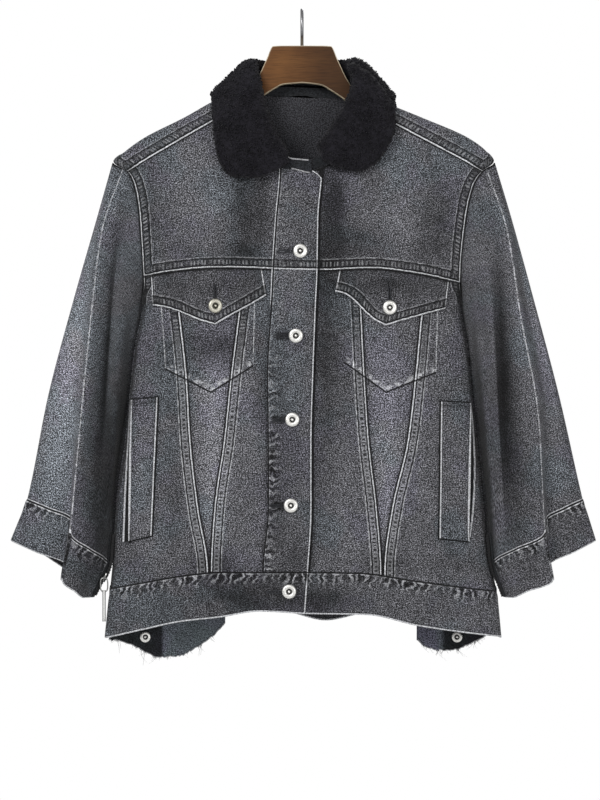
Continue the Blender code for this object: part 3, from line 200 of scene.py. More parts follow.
# The seams that run across, drop against x
SHOULDER_SEAM = table("x drop", (-205, 188), (-108, 132), (-60, 104), (60, 104), (108, 133), (212, 188))
FRONT_YOKE = table(
    "x drop", (-190, 312), (-154, 306), (-97, 302), (20, 305), (80, 303), (137, 309), (186, 319)
)
HEM_SEAM = table(
    "x drop", (-226, 678), (-182, 669), (-137, 661), (-94, 657), (6, 657), (67, 658), (130, 667), (229, 681)
)
HEM = table(
    "x drop", (-232, 737), (-185, 725), (-140, 715), (-96, 710), (-49, 703), (10, 706), (74, 707),
    (135, 720), (234, 735),
)
BACK_HEM = table(
    "x drop", (-232, 737), (-180, 718), (-100, 704), (-20, 710), (28, 719), (76, 711), (140, 707),
    (190, 721), (234, 735),
)
FRONT_FOLDS = table(
    "x_top drop_top x_low drop_low width height",
    (-95, 200, -60, 300, 18, 1.6), (-52, 380, -62, 640, 16, 2.2), (-22, 330, -24, 560, 14, -1.4),
    (-165, 470, -176, 690, 17, 2.6), (44, 420, 40, 690, 17, 2.0), (150, 480, 172, 700, 17, 2.6),
    (112, 190, 90, 290, 20, -1.6),
)
BACK_FOLDS = table(
    "x_top drop_top x_low drop_low width height",
    (-120, 300, -132, 680, 26, 4.0), (-40, 330, -52, 700, 22, -3.0), (35, 300, 44, 700, 26, 4.0),
    (128, 330, 140, 690, 24, -2.6),
)

# Creases: each runs from a first point to a last one on a line that bows sideways; across it is a bell
# as wide as its half width, leaning to one side; a negative height is a trough.
FRONT_CREASES = table(
    "x_top drop_top x_low drop_low bow width height lean",
    (-176, 205, -158, 292, 5, 8, -0.9, 0.3), (-166, 214, -146, 270, -4, 6, 0.7, -0.3),
    (-140, 180, -118, 284, 6, 13, 0.9, 0.2), (-118, 196, -100, 262, -4, 8, -0.7, 0),
    (-66, 208, -46, 296, 5, 11, -1.2, 0.3), (-40, 214, -46, 290, 0, 6, 0.8, 0),
    (-158, 368, -176, 436, 6, 7, -0.8, 0.2), (-180, 372, -188, 430, -3, 6, 0.9, 0),
    (-150, 470, -146, 640, 5, 10, 0.9, 0.2), (-140, 500, -131, 650, 3, 7, -0.8, 0),
    (-212, 575, -196, 662, -6, 8, -1.1, 0.3), (-206, 600, -184, 652, 4, 5, 0.8, 0),
    (-70, 400, -78, 560, 4, 9, -0.8, 0.2), (-62, 560, -88, 652, -4, 8, 0.9, 0),
    (-14, 320, -10, 470, 3, 8, 0.7, 0), (-24, 500, -20, 640, -3, 9, -0.9, 0.2),
    (52, 196, 58, 290, 4, 9, 0.8, 0), (78, 190, 84, 262, -3, 7, -0.6, 0),
    (140, 180, 128, 268, -4, 10, 0.8, 0.2), (176, 232, 160, 300, -5, 7, -0.9, 0.3),
    (32, 330, 30, 470, 2, 8, -1.0, 0), (56, 470, 62, 640, -4, 10, -0.8, 0.2),
    (106, 500, 118, 600, 5, 9, 0.6, 0), (146, 470, 150, 560, 3, 7, -0.7, 0),
    (200, 470, 214, 640, 5, 7, -1.2, 0.3), (122, 640, 168, 612, 6, 6, 0.8, 0),
    (30, 560, 26, 655, 2, 7, 0.9, 0), (-186, 676, -176, 724, 2, 9, 0.9, 0),
    (-60, 668, -52, 704, 0, 8, -0.8, 0), (60, 664, 66, 706, 2, 9, 0.8, 0),
    (176, 676, 190, 728, 2, 9, -0.9, 0),
)
BACK_CREASES = table(
    "x_top drop_top x_low drop_low bow width height lean",
    (-168, 200, -120, 256, 8, 9, -1.4, 0.3), (164, 204, 118, 258, -8, 9, -1.3, -0.3),
    (-60, 120, -20, 210, 8, 12, 1.0, 0), (70, 128, 36, 226, -6, 12, 0.9, 0),
    (-176, 330, -110, 420, 10, 9, 1.3, 0.3), (-182, 352, -140, 440, 8, 8, -1.2, 0.2),
    (178, 328, 120, 400, -9, 9, 1.2, -0.3), (182, 356, 146, 452, -7, 8, -1.2, 0),
    (-84, 290, -88, 560, 6, 11, -1.4, 0.2), (-6, 280, -2, 470, -5, 12, -1.2, 0),
    (84, 300, 92, 610, -6, 12, -1.6, 0.2), (-160, 470, -182, 660, 6, 10, 1.2, 0),
    (164, 480, 188, 664, -6, 10, 1.3, 0), (10, 500, 18, 690, 4, 10, -1.3, 0.3),
    (-110, 560, -96, 690, 3, 9, 1.0, 0), (104, 590, 112, 700, 3, 8, 0.9, 0),
)

# The sleeves. Each row is a line that runs down a sleeve: round is its place round the tube, from the
# outer edge (0) over the front to the underarm (0.5) and the back.
SLEEVE_LINES = table(
    "round top seam hem y15 y35 y60 y87 y100",
    (0.00, 178, 574, 623, 0, 0, 0, 0, 0),
    (0.08, 180, 584, 635, -11, -14, -15, -15, -14),
    (0.15, 182, 597, 652, -17, -23, -27, -25, -25),
    (0.19, 185, 612, 667, -21, -29, -35, -40, -46),
    (0.29, 210, 630, 680, -17, -13, -10, -31, -42),
    (0.40, 270, 640, 688, -23, -24, -17, -16, -24),
    (0.50, 340, 646, 688, -5, -2, 0, -2, -8),
    (0.62, 290, 636, 671, 17, 20, 22, 23, 19),
    (0.77, 225, 606, 641, 20, 24, 28, 31, 33),
    (0.92, 182, 582, 624, 10, 13, 15, 17, 18),
)
SLEEVE_SHARES = ("15", "35", "60", "87", "100")
SLEEVE_REACH = {
    "left": table(
        "x15 x35 x60 x87 x100",
        (241, 267, 297, 322, 341),
        (239, 258, 279, 296, 313),
        (238, 250, 263, 269, 273),
        (234, 246, 258, 270, 279.5),
        (218, 227, 236, 250, 266),
        (208, 216, 224, 235, 256),
        (202, 208, 220.5, 228.5, 247.5),
        (188, 196.5, 207.5, 220.5, 262),
        (224, 243, 265, 286, 305),
        (237, 261, 289, 313, 331),
    ),
    "right": table(
        "x15 x35 x60 x87 x100",
        (246, 271, 301, 329, 344),
        (245, 264, 288, 306, 320),
        (243, 258, 280, 284, 288),
        (240, 255, 276, 283, 292),
        (226, 234, 240, 252, 264),
        (207, 214, 222, 233, 247),
        (200.5, 206, 215.5, 224.5, 240),
        (188, 194.5, 203.5, 215.5, 255),
        (226, 244, 267, 291, 305),
        (241, 265, 293, 318, 333),
    ),
}
# Their creases: places round (in hundredths) and down (in hundredths) of each end
SLEEVE_CREASES = {
    "left": table(
        "round_top down_top round_low down_low bow width height lean",
        (30, 2, 27, 48, 3, 7, 1.3, 0.2), (36, 4, 33, 40, -3, 6, -1.3, 0), (10, 1, 9, 60, 3, 9, -1.2, 0.2),
        (5, 30, 4, 86, -2, 8, 0.9, 0), (24, 30, 23.5, 84, 2, 5, -1.3, 0), (44, 10, 38, 30, 4, 6, 1.4, 0.2),
        (46, 22, 40, 44, -3, 6, -1.3, 0), (43, 44, 42, 84, 3, 7, 1.2, 0), (35, 52, 36, 86, -2, 7, 1.1, 0.2),
        (60, 6, 66, 56, 5, 10, 1.8, 0.2), (72, 14, 70, 80, -4, 10, -1.6, 0),
        (84, 2, 82, 46, 4, 9, 1.4, 0.2), (92, 34, 93, 86, 3, 8, -1.2, 0), (56, 40, 61, 84, -3, 8, -1.2, 0),
        (15, 60, 17, 100, 2, 5, 1.0, 0), (30, 88, 31, 100, 1, 7, 0.8, 0), (7, 88, 8, 100, 1, 7, -0.8, 0),
    ),
    "right": table(
        "round_top down_top round_low down_low bow width height lean",
        (27, 3, 29, 52, -3, 7, 1.4, 0.2), (34, 6, 36, 48, 3, 7, -1.5, 0), (9, 2, 10, 70, -3, 8, -1.0, 0.2),
        (4, 20, 5, 80, 2, 8, 0.8, 0), (23.5, 26, 23, 86, -2, 5, -1.2, 0), (45, 8, 39, 34, 4, 7, 1.3, 0.2),
        (41, 36, 43, 80, -3, 7, 1.2, 0), (47, 26, 44, 50, 2, 6, -1.2, 0), (31, 50, 33, 86, 2, 7, 0.9, 0.2),
        (62, 4, 64, 60, -5, 10, 1.7, 0.2), (74, 20, 73, 84, 4, 10, -1.5, 0),
        (86, 3, 83, 50, -4, 9, 1.3, 0.2), (94, 30, 92, 84, -3, 8, -1.1, 0), (55, 46, 59, 86, 3, 8, -1.3, 0),
        (14, 62, 16, 100, -2, 5, 0.9, 0), (28, 88, 29, 100, 1, 7, 0.8, 0),
    ),
}

# Where the dye is worn (positive) or deep (negative), in (x, drop). On the front many darker ones are
# painted shade: under the collar, in the folds and along the hem.
FRONT_WEAR_AND_SHADE = table(
    "x drop x_reach drop_reach amount",
    (-108, 220, 30, 50, 0.3), (-134, 178, 34, 24, 0.16), (-66, 230, 22, 66, -0.6),
    (-44, 220, 10, 50, -0.35), (-80, 284, 34, 14, -0.35), (-176, 235, 10, 60, -0.3),
    (-152, 282, 30, 16, -0.2), (120, 228, 30, 50, 0.3), (38, 236, 14, 70, -0.8), (62, 276, 34, 22, -0.45),
    (156, 250, 26, 44, -0.5), (84, 206, 16, 26, -0.1), (-2, 236, 14, 50, -0.15), (26, 400, 12, 160, -0.55),
    (44, 400, 12, 100, -0.25), (-102, 470, 18, 100, 0.95), (-104, 580, 12, 50, 0.45),
    (100, 470, 20, 100, 0.75), (98, 580, 12, 50, 0.45), (-106, 396, 30, 24, -0.85),
    (104, 394, 30, 18, -0.12), (-62, 480, 14, 90, 0.14), (48, 570, 16, 80, 0.16), (-48, 430, 8, 60, -0.35),
    (-204, 420, 9, 70, -0.25), (140, 520, 10, 90, 0.08), (176, 646, 34, 14, -0.3),
    (-186, 540, 10, 60, 0.28), (-148, 560, 10, 70, -0.2), (-160, 420, 16, 40, -0.15),
    (180, 530, 10, 60, 0.18), (-106, 648, 20, 16, -0.95), (94, 648, 18, 15, -0.9),
    (-70, 686, 56, 26, -0.72), (20, 690, 36, 20, -0.65), (-160, 694, 30, 30, -0.22),
    (130, 700, 60, 16, -0.1), (-104, 324, 44, 16, -0.3), (104, 322, 44, 16, -0.4), (-28, 600, 8, 70, -0.3),
    (-24, 440, 7, 60, -0.2), (-6, 640, 16, 40, -0.3), (-14, 530, 18, 46, -0.22),
)
BACK_FADES = table(
    "x drop x_reach drop_reach amount",
    (-90, 190, 60, 40, 0.4), (96, 194, 60, 40, 0.35), (0, 140, 50, 30, -0.2), (-110, 420, 40, 120, 0.3),
    (40, 460, 44, 130, 0.35), (140, 420, 30, 100, 0.2), (-40, 540, 24, 120, -0.25), (90, 600, 22, 80, -0.2),
    (0, 690, 160, 20, -0.1),
)
# On a sleeve they lie at places round and down it, in hundredths. The lighter ones are partly worn dye
# and partly painted highlight, as on the shiny streaks by the right sleeve's outer edge; most darker ones
# are painted shade, in the troughs and toward the underarm.
SLEEVE_WEAR_AND_PAINTED_LIGHT = {
    "left": table(
        "x drop x_reach drop_reach amount",
        (9, 52, 7, 38, 1.35), (2, 30, 4, 60, 0.2), (9, 94, 9, 7, -0.3), (21, 34, 3, 34, 0.34),
        (28, 42, 2.4, 26, -0.4), (26, 14, 6, 10, -0.15), (34, 36, 3.2, 26, 0.12), (34, 66, 9, 30, -0.9),
        (46, 50, 5, 30, -0.7), (28, 93, 8, 8, -0.12), (48, 92, 5, 12, -0.5), (58, 50, 7, 60, -0.6),
        (74, 30, 10, 40, 0.2), (90, 60, 8, 40, 0.1), (68, 80, 6, 30, -0.2),
    ),
    "right": table(
        "x drop x_reach drop_reach amount",
        (8, 60, 4, 34, 0.42), (4.5, 44, 1.2, 20, 1.0), (8, 40, 1.2, 16, 0.35), (13, 30, 3, 40, -0.2),
        (20.5, 40, 2.4, 34, 0.3), (28, 46, 3.0, 24, -0.6), (26, 76, 4.0, 20, -0.2), (34, 26, 3.6, 18, 0.22),
        (37, 66, 7, 30, -0.04), (45, 46, 4, 26, -0.6), (47, 78, 5, 30, -0.6), (26, 94, 9, 8, -0.1),
        (9, 94, 8, 7, -0.2), (58, 50, 7, 60, -0.6), (74, 34, 10, 40, 0.25), (90, 50, 8, 40, 0.1),
        (66, 80, 6, 30, -0.15),
    ),
}

# Shadows under the sleeves' folds: sharp on a line, fading toward the outer edge over their width (mm)
SLEEVE_SHADOWS = {
    "left": table(
        "round_top down_top round_low down_low width amount",
        (30.6, 10, 31.6, 66, 15, 0.8), (51, 12, 50, 78, 26, 0.9), (44, 50, 44, 100, 44, 0.42),
    ),
    "right": table(
        "round_top down_top round_low down_low width amount",
        (32.5, 14, 33.5, 88, 28, 0.95), (50, 14, 50, 96, 20, 0.7), (20, 62, 21, 92, 12, 0.25),
    ),
}

COLLAR = table(
    "neck_x side foot lift roll_x roll_drop roll_y edge_x edge_drop edge_y thick bow",
    (11, -1, 4, 3.7, 10, 170, -27, 10, 190, -34, 2.6, 3),
    (2, -1, 4, 3.7, -4, 168, -27, -4, 186, -35, 2.6, 3),
    (-8, -1, 4, 3.7, -17, 167, -27, -15, 181, -34.5, 2.6, 3),
    (-30, -1, 4, 3.5, -23, 159, -26, -33, 190.5, -34, 3.8, 3),
    (-52, -1, 4, 2.1, -31, 147, -25, -55, 197.5, -32, 4.2, 3),
    (-64, -1, 4, 2.1, -38, 132, -23, -76, 197, -31, 4.4, 3),
    (-74, -1, 4, 2.1, -45, 115, -20, -93, 187, -30, 4.4, 3),
    (-80, -1, 1.2, 5.3, -49, 95, -16, -102, 158, -27, 4.1, 3.6),
    (-82.5, 0, 1, 5.0, -53, 62, -2, -107, 99, -3, 3.0, 1.5),
    (-62, 1, 3, 2.6, -43, 60, 14, -88, 116, 25, 3.2, 0),
    (0, 1, 4, 2.1, 0, 60, 20, 0, 134, 31, 4.0, 2),
    (62, 1, 3, 2.6, 44, 60, 14, 92, 120, 25, 4.4, 3),
    (82.5, 0, 1, 4.6, 58, 62, -2, 109, 103, -3, 4.4, 3),
    (80, -1, 2, 4.4, 60, 88, -14, 109, 138, -24, 4.4, 3),
    (74, -1, 4, 2.1, 52, 112, -20, 101, 160, -29, 4.4, 3),
    (62, -1, 4, 2.1, 39, 134, -24, 82, 184, -30, 4.4, 3),
    (46, -1, 4, 2.1, 29, 150, -26, 62, 190.5, -32, 4.2, 3),
    (35, -1, 1, 2.1, 22, 158, -27, 43, 185, -33, 3.8, 3),
    (28, -1, -1.5, 0.6, 19, 164, -27, 24, 177, -33, 2.6, 3),
    (20, -1, -2, 0.0, 17, 168, -25, 20, 180, -33, 2.6, 3),
    (14, -1, -2, 0.0, 12, 168, -25, 13, 180, -33, 2.6, 3),
)
COLLAR_ENDS = (2.0, 18.0)
STAND_HEIGHT = 13.0
COLLAR_FOOT = 16.4
NECK_MIDDLE = np.array([0.0, NECK_TOP + 8.0])
RIDGE_BLEND = (1.0, 9.0)
STAND_BEND = 5.0
ROLL_GAP = 0.8
PAD_STOPS = np.array([0.0, 0.26, 0.36, 0.46, 0.72, 1.0])
TUFTS = 14500
TUFT_SIZE = (1.05, 2.1)  # half width of its root, and length

FRONT_BUTTONS = table("x drop", (-2, 283), (-7, 382), (-11, 480), (-13, 580), (-15, 680))
FLAPS = {
    "left": {"top": (-176, -47), "corners": ((-172, 346), (-42, 335)), "point": (-101, 369), "curl": 1.0,
             "sway": (1.5, 1.0)},
    "right": {"top": (44, 171), "corners": ((39, 331), (166, 350)), "point": (98, 370), "curl": 7.0,
              "sway": (4.0, 1.8)},
}
# Shadows of the tucks along the placket's seam: how far each runs in from it and half its height
PLACKET_TUCKS = table(
    "drop reach high amount",
    (499, 15, 4, 0.45), (521, 12, 4.5, 0.6), (535, 11, 3.5, 0.6), (556, 9, 3, 0.35), (571, 16, 2.6, 0.6),
    (588, 13, 3.6, 0.55), (603, 14, 3.4, 0.6), (616, 17, 2.6, 0.55), (629, 19, 2.4, 0.5),
    (645, 14, 3.4, 0.5),
)
FLAP_BUTTONS = {"left": (-101, 347), "right": (102, 349)}
CURL_WIDTH = 0.35
POCKETS = {
    "left": {"top": (-166, -55), "corners": ((-159, 421), (-57, 417)), "point": (-106, 448)},
    "right": {"top": (46, 159), "corners": ((48, 412), (156, 425)), "point": (98, 448)},
}
POCKET_MOUTH = 322.0
WELTS = {
    "left": ((-198, 457), (-168, 454), (-202, 622), (-175, 615)),
    "right": ((162, 459), (196, 461), (160, 618), (194, 622)),
}
TAILS = {
    "left": table(
        "x drop", (-229.5, 739.5), (-211, 744), (-197, 749), (-184, 757), (-167, 762), (-143, 760),
        (-122, 749), (-98, 731), (-91, 722),
    ),
    "right": table("x drop", (136, 742), (148, 751), (166, 755), (182, 753), (200, 745), (218, 737)),
}
TAIL_START = -225.0
TAIL_TUCK = 12.0
STUDS = {"left": (-186, 737), "right": (184, 737)}
FRAYS = (40, 50, 9, 8)  # of each torn edge: single yarns, those in bunches, bunches, and long yarns
FRAY_RADIUS = 0.26

# Profiles of the turned pieces, radius against height
BUTTON = table(
    "radius height", (0, 2.75), (0.9, 2.65), (1.35, 2.2), (1.6, 1.5), (2.1, 1.2), (2.9, 1.25), (3.3, 1.6),
    (3.7, 2.4), (4.4, 2.95), (5.4, 3.2), (6.4, 3.15), (7.4, 2.75), (8.1, 2.1), (8.5, 1.2), (8.45, 0.7),
    (7.9, 0.2), (7.2, 0.05), (0, 0),
)
PRESS_STUD = table(
    "radius height", (0, 1.3), (0.9, 1.2), (1.4, 0.6), (1.9, 0.6), (2.1, 1.2), (2.5, 1.6), (3.4, 1.75),
    (4.8, 1.7), (5.8, 1.4), (6.4, 0.9), (6.5, 0.3), (6.2, 0), (0, 0),
)
BUTTONHOLES = {"front": (15.5, 9.5), "flap": (16.0, 6.0)}  # how far off the button, and half the slot

# The slider's sections along the chain, half as wide and as thick as this
SLIDER = table(
    "along half thick", (-5.5, 2.4, 0.9), (-5.3, 3.0, 1.2), (-4.4, 3.4, 1.3), (-2.0, 3.3, 1.3),
    (0.5, 2.6, 1.25), (3.0, 2.3, 1.2), (4.8, 2.2, 1.1), (5.4, 1.9, 0.8),
)
# The pull strip from the side, up to where it turns over the ring's foot, and the columns across it:
# its two edges are rounded, so their plies grow less thick
STRIP = table(
    "away up", (0.45, -35), (0.45, -30), (0.45, -24), (0.45, -18), (0.46, -12), (0.55, -7), (0.9, -4),
    (1.25, -2), (1.4, -0.6), (1.2, 0.6), (0.6, 1.25), (0.0, 1.45),
)
STRIP_COLUMNS = table(
    "x grow edge", (-1.9, 0.5, 1), (-1.65, 1, 1), (-0.95, 1, 0), (0.95, 1, 0), (1.65, 1, 1), (1.9, 0.5, 1)
)

# The hanger's crown, half as wide as it is, and its arms
CROWN = table(
    "x top bottom", (0, WOOD_TOP, 84), (22, WOOD_TOP, 86), (34, WOOD_TOP + 0.6, 92), (42, 57, 97),
    (52, 78, 104), (62, 93, 113), (80, 106, 124), (95, 112, 130),
)
CROWN_TO_ARM = 20.0
ARM_DEPTH = 18.0
ARM_START = 52.0
ARM_BLEND = 30.0
WOOD_HALF = 6.5


# ---------------------------------------------------------------- curves and grids


def smooth(at, knots, values):
    """The curve through the values at the knots: a cubic between neighbours whose slope at a knot is the
    harmonic mean of the slopes on its two sides, and flat where they turn, so that it never overshoots."""
    at = np.clip(np.asarray(at, dtype=float), knots[0], knots[-1])
    wide = (slice(None),) + (None,) * (np.ndim(values) - 1)
    step = np.diff(knots)[wide]
    slope = np.diff(values, axis=0) / step
    product = slope[1:] * slope[:-1]
    total = np.where(product > 0, slope[1:] + slope[:-1], 1)
    turn = np.where(product > 0, 2 * product / total, 0)
    tangent = np.concatenate([slope[:1], turn, slope[-1:]])
    cell = np.clip(np.searchsorted(knots, at, side="right") - 1, 0, len(knots) - 2)
    step = step[cell]
    share = (at - knots[cell]).reshape(at.shape + (1,) * (np.ndim(values) - 1)) / step
    rest = 1 - share
    start = (1 + 2 * share) * rest**2 * values[cell] + share * rest**2 * step * tangent[cell]
    end = share**2 * (3 - 2 * share) * values[cell + 1] - share**2 * rest * step * tangent[cell + 1]
    return start + end


def closed_smooth(at, knots, values):
    """The curve of smooth() on a closed loop: round 0 and round 1 are the same place."""
    at = np.mod(at, 1.0)
    knots = np.concatenate([knots[-3:] - 1, knots, knots[:3] + 1])
    values = np.concatenate([values[-3:], values, values[:3]])
    return smooth(at, knots, values)


def mix(start, end, share):
    """The value at a share of the way from start to end."""
    return start + (end - start) * share


def step_up(value, low, high):
    """0 below low, 1 above high and a smooth step between."""
    share = np.clip((value - low) / (high - low), 0, 1)
    return share * share * (3 - 2 * share)


def bell(value, width):
    """e to the power of minus (value / width) squared."""
    return np.exp(-((value / width) ** 2))


def turns(count):
    """Even angles once round a circle."""
    return np.linspace(0, 2 * math.pi, count + 1)[:-1]


def unit(vectors):
    """Vectors divided by their lengths."""
    return vectors / np.maximum(np.linalg.norm(vectors, axis=-1, keepdims=True), 1e-9)


def squared(value, power):
    """A sine or cosine raised to a power with its sign kept, which squares off an ellipse."""
    return np.sign(value) * np.abs(value) ** power


def lumps(points, size, seed=0):
    """Smooth random values from -1 to 1: a random number at each corner of a lattice of this size, and a
    smooth step between the corners round a point."""
    at = np.asarray(points, dtype=float) / size
    cell = np.floor(at).astype(np.int64)
    part = at - cell
    part = part * part * (3 - 2 * part)
    total = np.zeros(at.shape[:-1])
    primes = np.array([73856093, 19349663, 83492791][: at.shape[-1]], dtype=np.int64)
    for corner in itertools.product((0, 1), repeat=at.shape[-1]):
        key = ((cell + corner) * primes).sum(axis=-1) + seed * 40503
        key = ((key ^ (key >> 15)) * 2246822519) & 0xFFFFFFFF
        key = ((key ^ (key >> 13)) * 3266489917) & 0xFFFFFFFF
        weight = np.prod(np.where(np.array(corner) > 0, part, 1 - part), axis=-1)
        total += weight * ((key >> 8 & 0xFFFF) / 32767.5 - 1)
    return total


def walk(points, axis):
    """How far each point of a grid is from its first line, along the rows (1) or the columns (0)."""
    steps = np.linalg.norm(np.diff(points, axis=axis), axis=2)
    start = np.zeros_like(points[..., 0].take([0], axis=axis))
    return np.concatenate([start, np.cumsum(steps, axis=axis)], axis=axis)


def cell_areas(grid):
    """Area of each cell of a grid: the length of the cross product of its first two sides."""
    return np.linalg.norm(np.cross(np.diff(grid, axis=0)[:, :-1], np.diff(grid, axis=1)[:-1]), axis=-1)


def resample(rows, at):
    """The rows of an array at shares from 0 to 1 of the way down it."""
    place = np.clip(at, 0, 1) * (len(rows) - 1)
    cell = np.minimum(place.astype(int), len(rows) - 2)
    return mix(rows[cell], rows[cell + 1], (place - cell)[:, None])


# Offsets of a grid's first lines from its edge: at a felled seam, at a plain one and at one that is hidden
FELLED = SEAM + np.array([0, 0.12, 0.4, 0.8, 1.4, 2.1, 3.0, 4.4, 6.2, 8.0, 9.6, 10.8, 11.8, 13.0, 14.6])
PLAIN = SEAM + np.array([0, 0.12, 0.4, 0.9, 1.8, 3.2])
HIDDEN = np.array([0.3, 1.5])
# At the side seams the front and the back turn to meet, so the first columns lie close together
AT_SIDE = np.array([0.004, 0.02, 0.06, 0.12, 0.19])
ROUNDED = SEAM + np.array([0, 0.12, 0.4, 0.9, 1.6, 2.6, 4.0, 5.8, 8.0])
SIDE_FELLED = np.concatenate([AT_SIDE, FELLED])
SIDE_ROUNDED = np.concatenate([AT_SIDE, ROUNDED])


def spread(width, first, last, step):
    """Distances across each width: the first offsets, the last ones counted back from the far side, and
    even steps between. Where a width is small they all draw together."""
    width = np.atleast_1d(width)[:, None]
    room = np.minimum(1, 0.47 * width / max(first[-1], last[-1]))
    near, far = first * room, width - last[::-1] * room
    count = 2 * max(1, math.ceil((width.max() - first[-1] - last[-1]) / step / 2))
    shares = np.linspace(0, 1, count + 1)[1:-1]
    return np.concatenate([near, mix(near[:, -1:], far[:, :1], shares), far], axis=1)


def grid_shares(plan_at, sides, ends, step=STEP):
    """Shares across and down for a piece's grid. plan_at gives the place at such shares; sides and ends are
    the offsets of its first and last columns and rows, which keep their distances along the whole edge."""
    even = np.linspace(0, 1, 25)
    coarse = plan_at(*np.meshgrid(even, even))
    widths, heights = walk(coarse, 1)[:, -1], walk(coarse, 0)[-1]
    across = spread(widths, *sides, step) / widths[:, None]
    down = spread(heights, *ends, step) / heights[:, None]
    return resample(across, down.mean(axis=0)), resample(down, across.mean(axis=0)).T


def patch(plan_at, sides, ends, step=STEP):
    """The places of a piece's grid."""
    return plan_at(*grid_shares(plan_at, sides, ends, step))


def coons(top, bottom, left, right, across, down):
    """The place at shares across and down inside four edges, each a function of its share: the mean of
    the lines from edge to edge, less the plane through the corners."""
    u, v = across[..., None], down[..., None]
    ends = np.array([0.0]), np.array([1.0])
    corners = mix(
        mix(top(ends[0]), top(ends[1]), u), mix(bottom(ends[0]), bottom(ends[1]), u), v
    )
    return mix(top(across), bottom(across), v) + mix(left(down), right(down), u) - corners


def straight(*points):
    """An edge along a line of points, each the same share of the way."""
    points = np.array(points, dtype=float)
    knots = np.linspace(0, 1, len(points))

    def edge(share):
        """The place at shares along the line."""
        return np.stack([np.interp(share, knots, points[:, axis]) for axis in (0, 1)], axis=-1)

    return edge


# ---------------------------------------------------------------- the front and the back


def body(name, drop):
    """A column of the body's table at any drop."""
    return smooth(drop, BODY["drop"], BODY[name])


def outlines(drop):
    """x of the cloth's inner face at the left and the right outline."""
    return body("left", drop) + DENIM, body("right", drop) - DENIM


def fold_height(folds, x, drop):
    """The sum of the folds: each is a bell across its line, fading in and out along it."""
    height = np.zeros(np.shape(x))
    for x_top, drop_top, x_low, drop_low, width, crest_height in rows_of(folds):
        along = (drop - drop_top) / (drop_low - drop_top)
        fade = np.sin(math.pi * np.clip(along, 0, 1)) ** 2
        height += crest_height * fade * bell(x - mix(x_top, x_low, along), width)
    return height


def crease_height(creases, x, drop):
    """The sum of the creases. Off the line between a crease's ends, bowed to one side, it is a bell that
    is wider on the side it leans to; along the line it swells and fades."""
    height = np.zeros(np.shape(x))
    for x0, drop0, x1, drop1, bow, width, crest_height, lean in rows_of(creases):
        reach = math.hypot(x1 - x0, drop1 - drop0)
        along = np.clip(((x - x0) * (x1 - x0) + (drop - drop0) * (drop1 - drop0)) / reach**2, 0, 1)
        off = ((x - x0) * (drop1 - drop0) - (drop - drop0) * (x1 - x0)) / reach
        off = off - bow * 4 * along * (1 - along)
        height += crest_height * np.sin(math.pi * along) ** 1.3 * bell(off, width * (1 + lean * np.sign(off)))
    return height


def sheet(side, plan):
    """Points of the inside of the front or back at (x, drop). The depth is hold + (depth - hold) times
    (1 - |q|^ROUNDNESS)^p, where q runs from -1 at the left outline to 1 at the right one. The power p is
    1/2, a round edge, where the front and back meet, and 1, a flat edge, where the armhole holds it."""
    x, drop = plan[..., 0], plan[..., 1]
    left, right = outlines(drop)
    q = np.clip((x - (left + right) / 2) / ((right - left) / 2), -1, 1)
    hold = mix(body("hold_left", drop), body("hold_right", drop), step_up(q, -0.4, 0.4))
    power = 0.5 + 0.5 * step_up(hold, 0, 14)
    bulge = (1 - np.abs(q) ** ROUNDNESS) ** power
    depth = hold + (body(side, drop) - hold) * bulge
    depth = depth + fold_height(FRONT_FOLDS if side == "front" else BACK_FOLDS, x, drop) * bulge
    return np.stack([x, -depth if side == "front" else depth, -drop], axis=-1)


def sheet_normals(side, plan):
    """Outward normals of the front or back, from the differences over a short step. A point near the
    outline is first moved in by the step, and its normal is turned flat where the two sheets meet."""
    reach = 0.7
    low, high = outlines(plan[..., 1])
    inside = np.stack([np.clip(plan[..., 0], low + 2 * reach, high - 2 * reach), plan[..., 1]], axis=-1)
    across = np.array([reach, 0.0])
    down = np.array([0.0, reach])
    wide = sheet(side, inside + across) - sheet(side, inside - across)
    tall = sheet(side, inside + down) - sheet(side, inside - down)
    normals = unit(np.cross(tall, wide)) * (1 if side == "front" else -1)
    gap = np.minimum(plan[..., 0] - low, high - plan[..., 0])
    hold = np.where(plan[..., 0] < 0, body("hold_left", plan[..., 1]), body("hold_right", plan[..., 1]))
    flat = np.clip(1 - gap / 2.6, 0, 1) * (1 - step_up(hold, 0, 8))
    normals[..., 1] *= 1 - flat
    return unit(normals)


def neckline(x):
    """Drop of the front neckline: |x / NECK_WIDTH|^2.2 + ((drop - NECK_TOP) / NECK_DEPTH)^2 = 1, tilted
    a little in the middle."""
    inside = np.clip(1 - np.abs(x / NECK_WIDTH) ** 2.2, 0, 1)
    tilt = NECK_TILT * (x / 20) * np.exp(-((x / 20) ** 2))
    return NECK_TOP + NECK_DEPTH * np.sqrt(inside) + tilt


def back_neckline(x):
    """Drop of the back neckline: a line from ridge to ridge, with half an ellipse scooped out below it."""
    ends = crest(np.full(np.shape(x), -NECK_WIDTH)), crest(np.full(np.shape(x), NECK_WIDTH))
    across = np.clip(x / NECK_WIDTH, -1, 1)
    return mix(*ends, (across + 1) / 2) + BACK_SCOOP * np.sqrt(1 - across**2)


def front_top(x):
    """Drop of the front yokes' top: the shoulder seams, and the neckline between them."""
    seam = np.interp(x, SHOULDER_SEAM["x"], SHOULDER_SEAM["drop"])
    return np.where(np.abs(x) < NECK_WIDTH, np.maximum(neckline(x), seam), seam)


def crest(x):
    """Drop of the shoulder ridge above x, by halving: where the outline passes x."""
    x = np.asarray(x, dtype=float)
    low = np.full(x.shape, BODY["drop"][0])
    high = np.full(x.shape, SHOULDER_TIP)
    for _ in range(40):
        middle = (low + high) / 2
        left, right = outlines(middle)
        outside = np.where(x < 0, left < x, right > x)
        high = np.where(outside, middle, high)
        low = np.where(outside, low, middle)
    return (low + high) / 2


